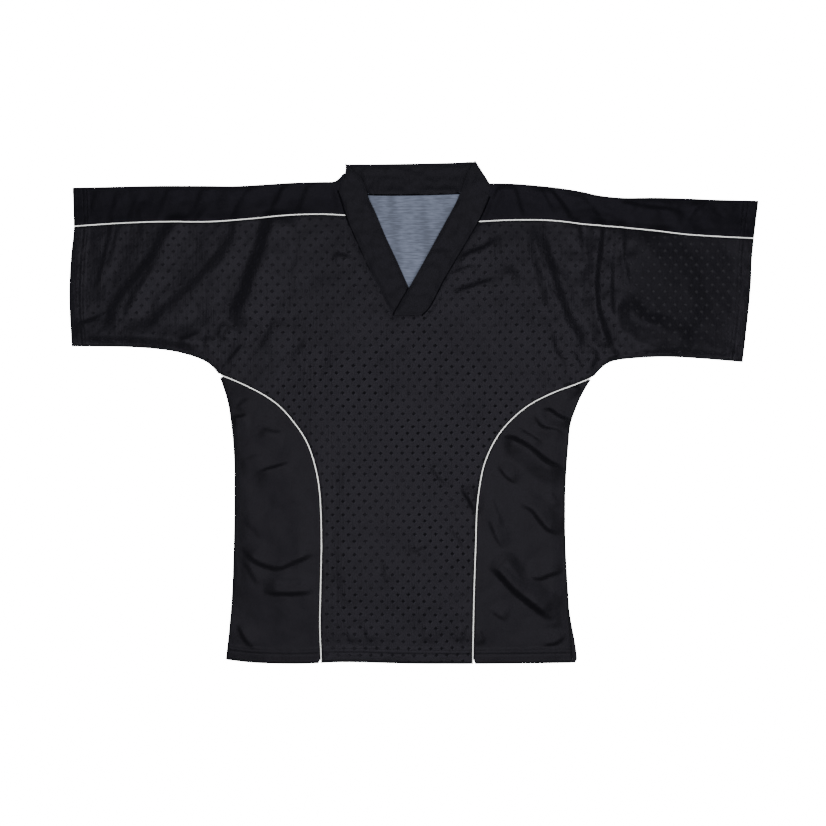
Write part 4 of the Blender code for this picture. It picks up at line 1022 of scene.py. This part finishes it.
# Plain black polyester twill, pressed over interfacing: duller than the body, with a soft crosswise grain.
collar_cloth, tree, shader, place = new_cloth("polyester_twill_interfaced", 0.50, 0.043, VIOLET_SHEEN)
blotches = {"Scale": 160.0, "Detail": 3.0, "Roughness": 0.6}
blotches = add_node(tree, "ShaderNodeTexNoise", blotches, {"Vector": place})
dye(tree, shader, blotches, COLLAR_DARK, COLLAR_LIGHT, blotches, 0.3, 0.0004)


def band_sections(rows, step):
    """Pairs of seam point and free point along a stretch of the collar, each with its height."""
    seam = smooth_path([(r[0], r[1], r[4]) for r in rows], step)
    free = smooth_path([(r[2], r[3], r[5]) for r in rows], step / 5)
    shares = lengths_along(seam) / lengths_along(seam)[-1]
    lengths = lengths_along(free) / lengths_along(free)[-1]
    free = np.column_stack([np.interp(shares, lengths, free[:, k]) for k in range(3)])
    return seam, free


# across the strip, from its sewn edge to its folded free edge
across_shares = np.linspace(0, 1, ACROSS_COLLAR)
from_fold = 1 - across_shares
pressed_edges = np.exp(-((across_shares / SEWN_PRESS) ** 2)) + np.exp(-((from_fold / FOLD_PRESS) ** 2))
swell = 1 - PRESSED * pressed_edges
calm_edge = smoothstep(from_fold / EVEN_EDGE)


def across_line(seam, free, bow=0.0):
    """Points across the band. bow draws its middle in towards the shirt's left."""
    line = seam + across_shares[:, None] * (free - seam)
    along = (free - seam)[:2] / np.linalg.norm((free - seam)[:2])
    drawn = 4 * bow * across_shares * (1 - across_shares)
    line[:, :2] += drawn[:, None] * np.array([along[1], -along[0]])
    return line


outer, inner = [], []
free_edges = [smooth_path([(r.free_x, r.free_y) for r in band]) for band in (LEFT_BAND, RIGHT_BAND)]
left_seam, left_free, left_out = inset_corner(LEFT_BAND[-1], -1)
right_seam, right_free, right_out = inset_corner(RIGHT_BAND[0], 1)
top_z = LEFT_BAND[-1].seam_z
left_corner, right_corner = (
    (*seam, *free, top_z, top_z) for seam, free in ((left_seam, left_free), (right_seam, right_free))
)
low_corners = [(*corner[:4], 0.0, 0.0) for corner in (left_corner, right_corner)]
# the free edge behind the neck, opposite the points of its seam
BACK_FREE = ((-85.0, 396.6), (-66.5, 396.6), (-2.5, 397.6), (66.5, 399.2), (86.0, 400.4))
back_rows = [(*seam, *free, 0.0, 0.0) for seam, free in zip(BACK_NECK_SEAM, BACK_FREE)]


def corner_bow(seam):
    """The collar's fold at the left shoulder is bent, and the bend dies out along the bands."""
    away = np.linalg.norm(seam[:2] - np.array([LEFT_BAND[-1].seam_x, LEFT_BAND[-1].seam_y]))
    return CORNER_BOW * smoothstep(1 - away / BOW_REACH)


def add_front_band(rows):
    """A front band, which is thin at its foot, where it goes under the other or is sewn down."""
    for seam, free in zip(*band_sections(rows, COLLAR_STEP)):
        line = across_line(seam, free, corner_bow(seam))
        from_foot = smoothstep((seam[1] - LEFT_BAND[0].seam_y) / FOOT_REACH)
        foot = FOOT_SHARE + (1 - FOOT_SHARE) * from_foot
        crumple = sum(height * crumpled(line, size) for height, size in FRONT_CRUMPLES)
        inner.append(line)
        rise = foot * np.maximum(COLLAR_CLOTH * swell + calm_edge * crumple, LEAST_COLLAR)
        outer.append(line + np.column_stack([0 * swell, 0 * swell, rise]))


def add_collar_fold(seam, free, outwards, angles):
    """The strip's half turn at a shoulder, about the line from its corner's seam to its free edge."""
    for angle in angles:
        for grid, radius in ((outer, COLLAR_FOLD), (inner, COLLAR_FOLD - COLLAR_CLOTH)):
            aside = radius * math.cos(angle) * outwards
            z = COLLAR_FOLD + radius * math.sin(angle)
            ends = np.array([*(seam + aside), z]), np.array([*(free + aside), z])
            grid.append(across_line(*ends, corner_bow(ends[0])))


turn = np.linspace(math.pi / 2, -math.pi / 2, COLLAR_FOLD_ROWS + 2)[1:-1]
add_front_band([*LEFT_BAND[:-1], left_corner])
add_collar_fold(left_seam, left_free, left_out, turn)
for seam, free in zip(*band_sections([low_corners[0], *back_rows, low_corners[1]], COLLAR_STEP)):
    line = across_line(seam, free, corner_bow(seam))
    crumple = sum(height * crumpled(line, size) for height, size in BACK_CRUMPLES)
    # the turned edges inside fill it out along its seam, the most at the right
    crumple += (1.4 + smoothstep((line[:, 0] - 35) / 30)) * smoothstep(1 - across_shares / 0.3)
    outer.append(line)
    rise = np.maximum(COLLAR_CLOTH * swell + calm_edge * crumple, LEAST_COLLAR)
    clear = np.min([-place_on(edge, line[:, :2])[1] for edge in free_edges], axis=0)
    rise *= UNDER_SHARE + (1 - UNDER_SHARE) * smoothstep(clear / UNDER_REACH)
    inner.append(line + np.column_stack([0 * swell, 0 * swell, rise]))
add_collar_fold(right_seam, right_free, right_out, turn[::-1])
add_front_band([right_corner, *RIGHT_BAND[1:]])
collar = strip_piece("collar.cloth", np.array(outer), np.array(inner), collar_cloth)
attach(collar, "root")
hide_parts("collar")

# Piping. White satin-covered cord, caught in the shoulder seams and in the curved side seams. On the front
# it stands just proud of the cloth, and on the back it is pressed flat under the shirt's own weight.

PIPING_RISE = 0.9
FLAT_SHARE = 0.6  # share of the cloth's thickness below which a cord's sides stand upright
CORD_COLUMNS = 9
CORD_ROUND = 0.97  # share of a half circle in its top
CORD_CUFF_GAP, CORD_PIT_GAP = 0.6, 4.0  # length left out of a cord at the cuff and at the armpit
CORD_NECK_GAPS = {"front": 1.4, "back": 7.0}  # and at the collar
PIPING_WHITE, PIPING_SHADE = "dededc", "cacac8"

# White polyester satin bias tape over a cord: bright, a little glossy, with fine slanting ribs, which are
# drawn 3 mm apart where the real ones are too fine to show.
piping_satin, tree, shader, place = new_cloth("white_satin_piping", 0.45, 0.5)
twist = add_node(tree, "ShaderNodeTexNoise", {"Scale": 330.0, "Detail": 1.0}, {"Vector": place})
dye(tree, shader, twist, PIPING_SHADE, PIPING_WHITE, twist, 0.15, 0.0003)


def cord(name, path, width, low_z, flat_rise, round_rise, material):
    """A strip along a path with a rounded top. low_z gives the height of its underside along the path."""
    shares = np.linspace(-1, 1, CORD_COLUMNS)
    roundness = np.sqrt(np.clip(1 - (CORD_ROUND * shares) ** 2, 0, 1))
    lines = np.stack([beside(path, aside * width / 2) for aside in shares], axis=1)
    low = np.concatenate([lines, np.repeat(low_z[:, None, None], CORD_COLUMNS, axis=1)], axis=2)
    high = low.copy()
    high[:, :, 2] += flat_rise + round_rise * roundness
    return strip_piece(name, high, low, material)


trim = {"front": [], "back": []}
for side, index in (("left", 0), ("right", 1)):
    curve = (left_side_seam, right_side_seam)[index]
    foot = np.array([[curve[-1, 0], np.interp(curve[-1, 0], hem_edge[:, 0], hem_edge[:, 1])]])
    curve = stretch(np.vstack([curve, foot]), CORD_PIT_GAP, 0)
    for face, seams in (("front", front_seams), ("back", back_seams)):
        rise = PIPING_RISE if face == "front" else 0.0
        seam = seams[index] if side == "left" else seams[index][::-1]
        seam = stretch(seam, CORD_CUFF_GAP, -CORD_NECK_GAPS[face])
        for where, path in (("shoulder", seam), ("side", curve)):
            low_z = CLOTH + air_gap(path) if rise else np.zeros(len(path))
            rises = (FLAT_SHARE * CLOTH, (1 - FLAT_SHARE) * CLOTH + rise) if rise else (CLOTH, 0.0)
            piece = cord(
                f"piping_{where}_{face}_{side}.cord", path, PIPING_WIDTH, low_z, *rises, piping_satin
            )
            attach(piece, "root")
            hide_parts(f"piping_{where}_{face}_{side}")
            trim[face].append(piece)

# Collar seam shadow. A near-black matt strip lies in the ditch beside the collar's sewn edges, under the
# free edge at the
# crossing and along the back neck seam: painted shadow, which draws a dark line round the neck.

DITCH_WIDTH = 2.4
DITCH_SINK = 0.4  # its underside lies this far below the seam
SHOULDER_RISE = 1.5  # it rises this much with the shoulder piece
RISE_FROM, RISE_OVER = 296, 34  # y where the rise begins, and its length
CROSSING_TOP = 201  # y at which it ends under the free edge
NECK_HALF = 79  # and x behind the neck
DITCH_ROUND = 0.3

# Painted seam shadow: a near-black strip deep in the seam, quite dull, and the blackest part of the shirt.
painted_seam_shadow, tree, shader, place = new_cloth("painted_seam_shadow_strip", 0.9, 0.01)
speckle = add_node(tree, "ShaderNodeTexNoise", {"Scale": 700.0, "Detail": 1.0}, {"Vector": place})
dye(tree, shader, speckle, "020203", "060608")

left_ditch = smooth_path([(r.seam_x, r.seam_y, r.seam_z) for r in LEFT_BAND[:-1]])
right_ditch = smooth_path([(r.seam_x, r.seam_y, r.seam_z) for r in RIGHT_BAND[1:]])
crossing = smooth_path([(r.free_x, r.free_y, r.free_z) for r in RIGHT_BAND[-3:]])
crossing = crossing[crossing[:, 1] < CROSSING_TOP]
neck_ditch = smooth_path([(x, y, CLOTH) for x, y in BACK_NECK_SEAM])
neck_ditch = neck_ditch[np.abs(neck_ditch[:, 0]) < NECK_HALF]
# painted shadow strips, each with its distance beside the seam and its height
for where, path, aside, rise in (
    ("left", left_ditch, 0.9, 0.85),
    ("right", right_ditch, 0.9, 0.85),
    ("crossing", crossing, -0.5, 0.75),
    ("neck", neck_ditch, 0.3, 1.4),
):
    low_z = path[:, 2] - DITCH_SINK
    if where in ("left", "right"):
        low_z = low_z + SHOULDER_RISE * smoothstep((path[:, 1] - RISE_FROM) / RISE_OVER)
    line = beside(path, aside)
    piece = cord(f"collar_painted_shadow_{where}.thread", line, DITCH_WIDTH, low_z, rise, DITCH_ROUND, painted_seam_shadow)
    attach(piece, "root")
    trim["front"].append(piece)

# Needle rows. Two rows of black lockstitch hold each hem: across the foot of the front and its side pieces,
# and round each cuff. Every stitch is a short length of thread, sunk in its groove.

STITCH_PITCH = 3.2
STITCH_LENGTH = 2.5
STITCH_WIDTH = 0.5
STITCH_RISE = 0.28
THREAD_SIDES = 6
THREAD_END = 0.12  # half width of a stitch at its ends, as a share of the thread's
THREAD_LIFT = 0.05  # its middle lies this far above the groove
SEAM_CLEAR = 3  # a cuff's rows stop this far from the shoulder seam
# x from and to along the hem, clear of the piping, and y from and to at each cuff
HEM_STRETCHES = ((-299, -150), (-144.5, 91.5), (96.5, 252))
CUFF_STRETCHES = ((109, 356), (90, 335))

# Black spun polyester sewing thread: a little lighter than the cloth, and dull.
thread, tree, shader, place = new_cloth("black_sewing_thread", 0.6, 0.05)
speckle = add_node(tree, "ShaderNodeTexNoise", {"Scale": 900.0, "Detail": 1.0}, {"Vector": place})
dye(tree, shader, speckle, "060608", "0d0d10")

# Rings along a stitch: share of its length from the middle, half width and rise as shares of the thread's.
STITCH_PROFILE = ((-0.5, 0.0, 0.0), (-0.3, 0.5, 0.55), (0.0, 0.5, 0.8), (0.3, 0.5, 0.55), (0.5, 0.0, 0.0))


def stitches(name, rows, top_z):
    """Short raised threads along rows of points x, y. top_z gives the cloth's height under each."""
    points, faces = [], []
    for row in rows:
        lengths = lengths_along(row)
        middles = np.arange(STITCH_PITCH / 2, lengths[-1], STITCH_PITCH)
        xy = np.column_stack([np.interp(middles, lengths, row[:, k]) for k in (0, 1)])
        ahead = np.column_stack([np.interp(middles + 0.5, lengths, row[:, k]) for k in (0, 1)])
        along = ahead - xy
        along /= np.linalg.norm(along, axis=1)[:, None] + 1e-9
        across = np.column_stack([-along[:, 1], along[:, 0]])
        heights = top_z(xy)
        for p, a, c, z in zip(xy, along, across, heights):
            start = len(points)
            for station, half, rise in STITCH_PROFILE:
                centre = p + a * station * STITCH_LENGTH
                for k in range(THREAD_SIDES):
                    turn = math.tau * k / THREAD_SIDES
                    size = max(half, THREAD_END) * STITCH_WIDTH
                    flat_point = centre + c * size * math.cos(turn)
                    points.append((*flat_point, z + STITCH_RISE * rise + 0.5 * size * math.sin(turn)))
            rings = [range(at, at + THREAD_SIDES) for at in range(start, len(points), THREAD_SIDES)]
            for ring, after in zip(rings, rings[1:]):
                for k in range(THREAD_SIDES):
                    b = (k + 1) % THREAD_SIDES
                    faces.append((ring[k], ring[b], after[b], after[k]))
            faces += [tuple(rings[0])[::-1], tuple(rings[-1])]
    return cloth_object(name, np.array(points), faces, [thread], [0] * len(faces))


def top_of_front(points):
    """The height of the front's needle grooves at points x, y."""
    to_open = nearest_distances(points, open_edges)
    thickness = CLOTH + HEM_EXTRA * smoothstep((HEM_WIDTH + 1 - to_open) / 2) - GROOVE
    return CLOTH + air_gap(points) + thickness + THREAD_LIFT


def top_of_piece(piece):
    """A function that gives the height of a piece's top at points x, y."""
    shell = BVHTree.FromPolygons(
        [vertex.co for vertex in piece.data.vertices], [face.vertices for face in piece.data.polygons]
    )

    def top(points):
        hits = [shell.ray_cast(Vector((x * MM, y * MM, 0.1)), Vector((0, 0, -1)))[0] for x, y in points]
        return np.array([hit.z / MM + THREAD_LIFT if hit else 0.0 for hit in hits])

    return top


hem_needle_rows = []
for inset in STITCH_INSETS:
    row = beside(hem_edge, inset)
    for low, high in HEM_STRETCHES:
        hem_needle_rows.append(row[(row[:, 0] > low) & (row[:, 0] < high)])
needle_rows = [("hem_stitching", hem_needle_rows, top_of_front)]
for side, cuff, inwards, seam_y, (low_y, fold_y) in (
    ("left", left_cuff, 1, front_seams[0][0, 1], CUFF_STRETCHES[0]),
    ("right", right_cuff, -1, front_seams[1][-1, 1], CUFF_STRETCHES[1]),
):
    rows = [beside(cuff, inwards * inset) for inset in STITCH_INSETS]
    sleeve_rows = [row[(row[:, 1] < seam_y - SEAM_CLEAR) & (row[:, 1] > low_y)] for row in rows]
    shoulder_rows = [row[(row[:, 1] > seam_y + SEAM_CLEAR) & (row[:, 1] < fold_y)] for row in rows]
    needle_rows.append((f"cuff_stitching_{side}", sleeve_rows, top_of_front))
    needle_rows.append((f"shoulder_stitching_{side}", shoulder_rows, top_of_piece(shoulders[side])))
for name, rows, top_z in needle_rows:
    piece = stitches(name, rows, top_z)
    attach(piece, "root")
    trim["front"].append(piece)

# The surface, the lights and the camera. The shirt lies on a plain white surface under one large soft light
# above it, and the camera looks straight down.

SURFACE_SIZE = 40.0  # metres
SURFACE_GLOW = 14.0  # the photograph's white is fully bright
ROOM_LIGHT = 0.6

bpy.ops.object.select_all(action="DESELECT")
bpy.ops.mesh.primitive_plane_add(size=SURFACE_SIZE, location=(0.0, 0.0, 0.0))
surface = bpy.context.object
surface.name = "white_surface"
paper, tree, shader, place = new_cloth("matt_white_paper", 0.9, 0.1)
tone = add_node(tree, "ShaderNodeTexNoise", {"Scale": 3.0, "Detail": 2.0}, {"Vector": place})
dye(tree, shader, tone, "f6f6f6", "f9f9f9")
shader.inputs["Emission Color"].default_value = linear("ffffff")
shader.inputs["Emission Strength"].default_value = SURFACE_GLOW
surface.data.materials.append(paper)

for light in named_rows(
    "name place size power glossy",
    ("overhead_softbox", (0.10, -0.15, 4.2), 2.2, 167.0, True),
    ("left_fill", (-3.0, 0.6, 2.8), 2.0, 170.0, False),
    ("right_fill", (3.0, 0.9, 2.8), 2.0, 170.0, False),
):
    bpy.ops.object.light_add(type="AREA", location=light.place)
    lamp = bpy.context.object
    lamp.name = light.name
    lamp.data.shape = "SQUARE"
    lamp.data.size = light.size
    lamp.data.energy = light.power
    lamp.visible_glossy = light.glossy
    lamp.rotation_euler = (-Vector(light.place)).to_track_quat("-Z", "Y").to_euler()

world = bpy.data.worlds.new("studio")
bpy.context.scene.world = world
world.use_nodes = True
room = world.node_tree.nodes["Background"]
room.inputs["Color"].default_value = (1.0, 1.0, 1.0, 1.0)
room.inputs["Strength"].default_value = ROOM_LIGHT

CAMERA_HEIGHT = 3.0
VIEW_WIDTH = 1.317  # the photograph's width at 1.6 mm a pixel, less what the lens adds
SENSOR_WIDTH = 36.0
camera_data = bpy.data.cameras.new("overhead_camera")
camera_data.sensor_width = SENSOR_WIDTH
camera_data.lens = SENSOR_WIDTH * CAMERA_HEIGHT / VIEW_WIDTH
camera = bpy.data.objects.new("overhead_camera", camera_data)
camera.location = (-1.2 * MM, 0.0, CAMERA_HEIGHT)
bpy.context.scene.collection.objects.link(camera)
bpy.context.scene.camera = camera
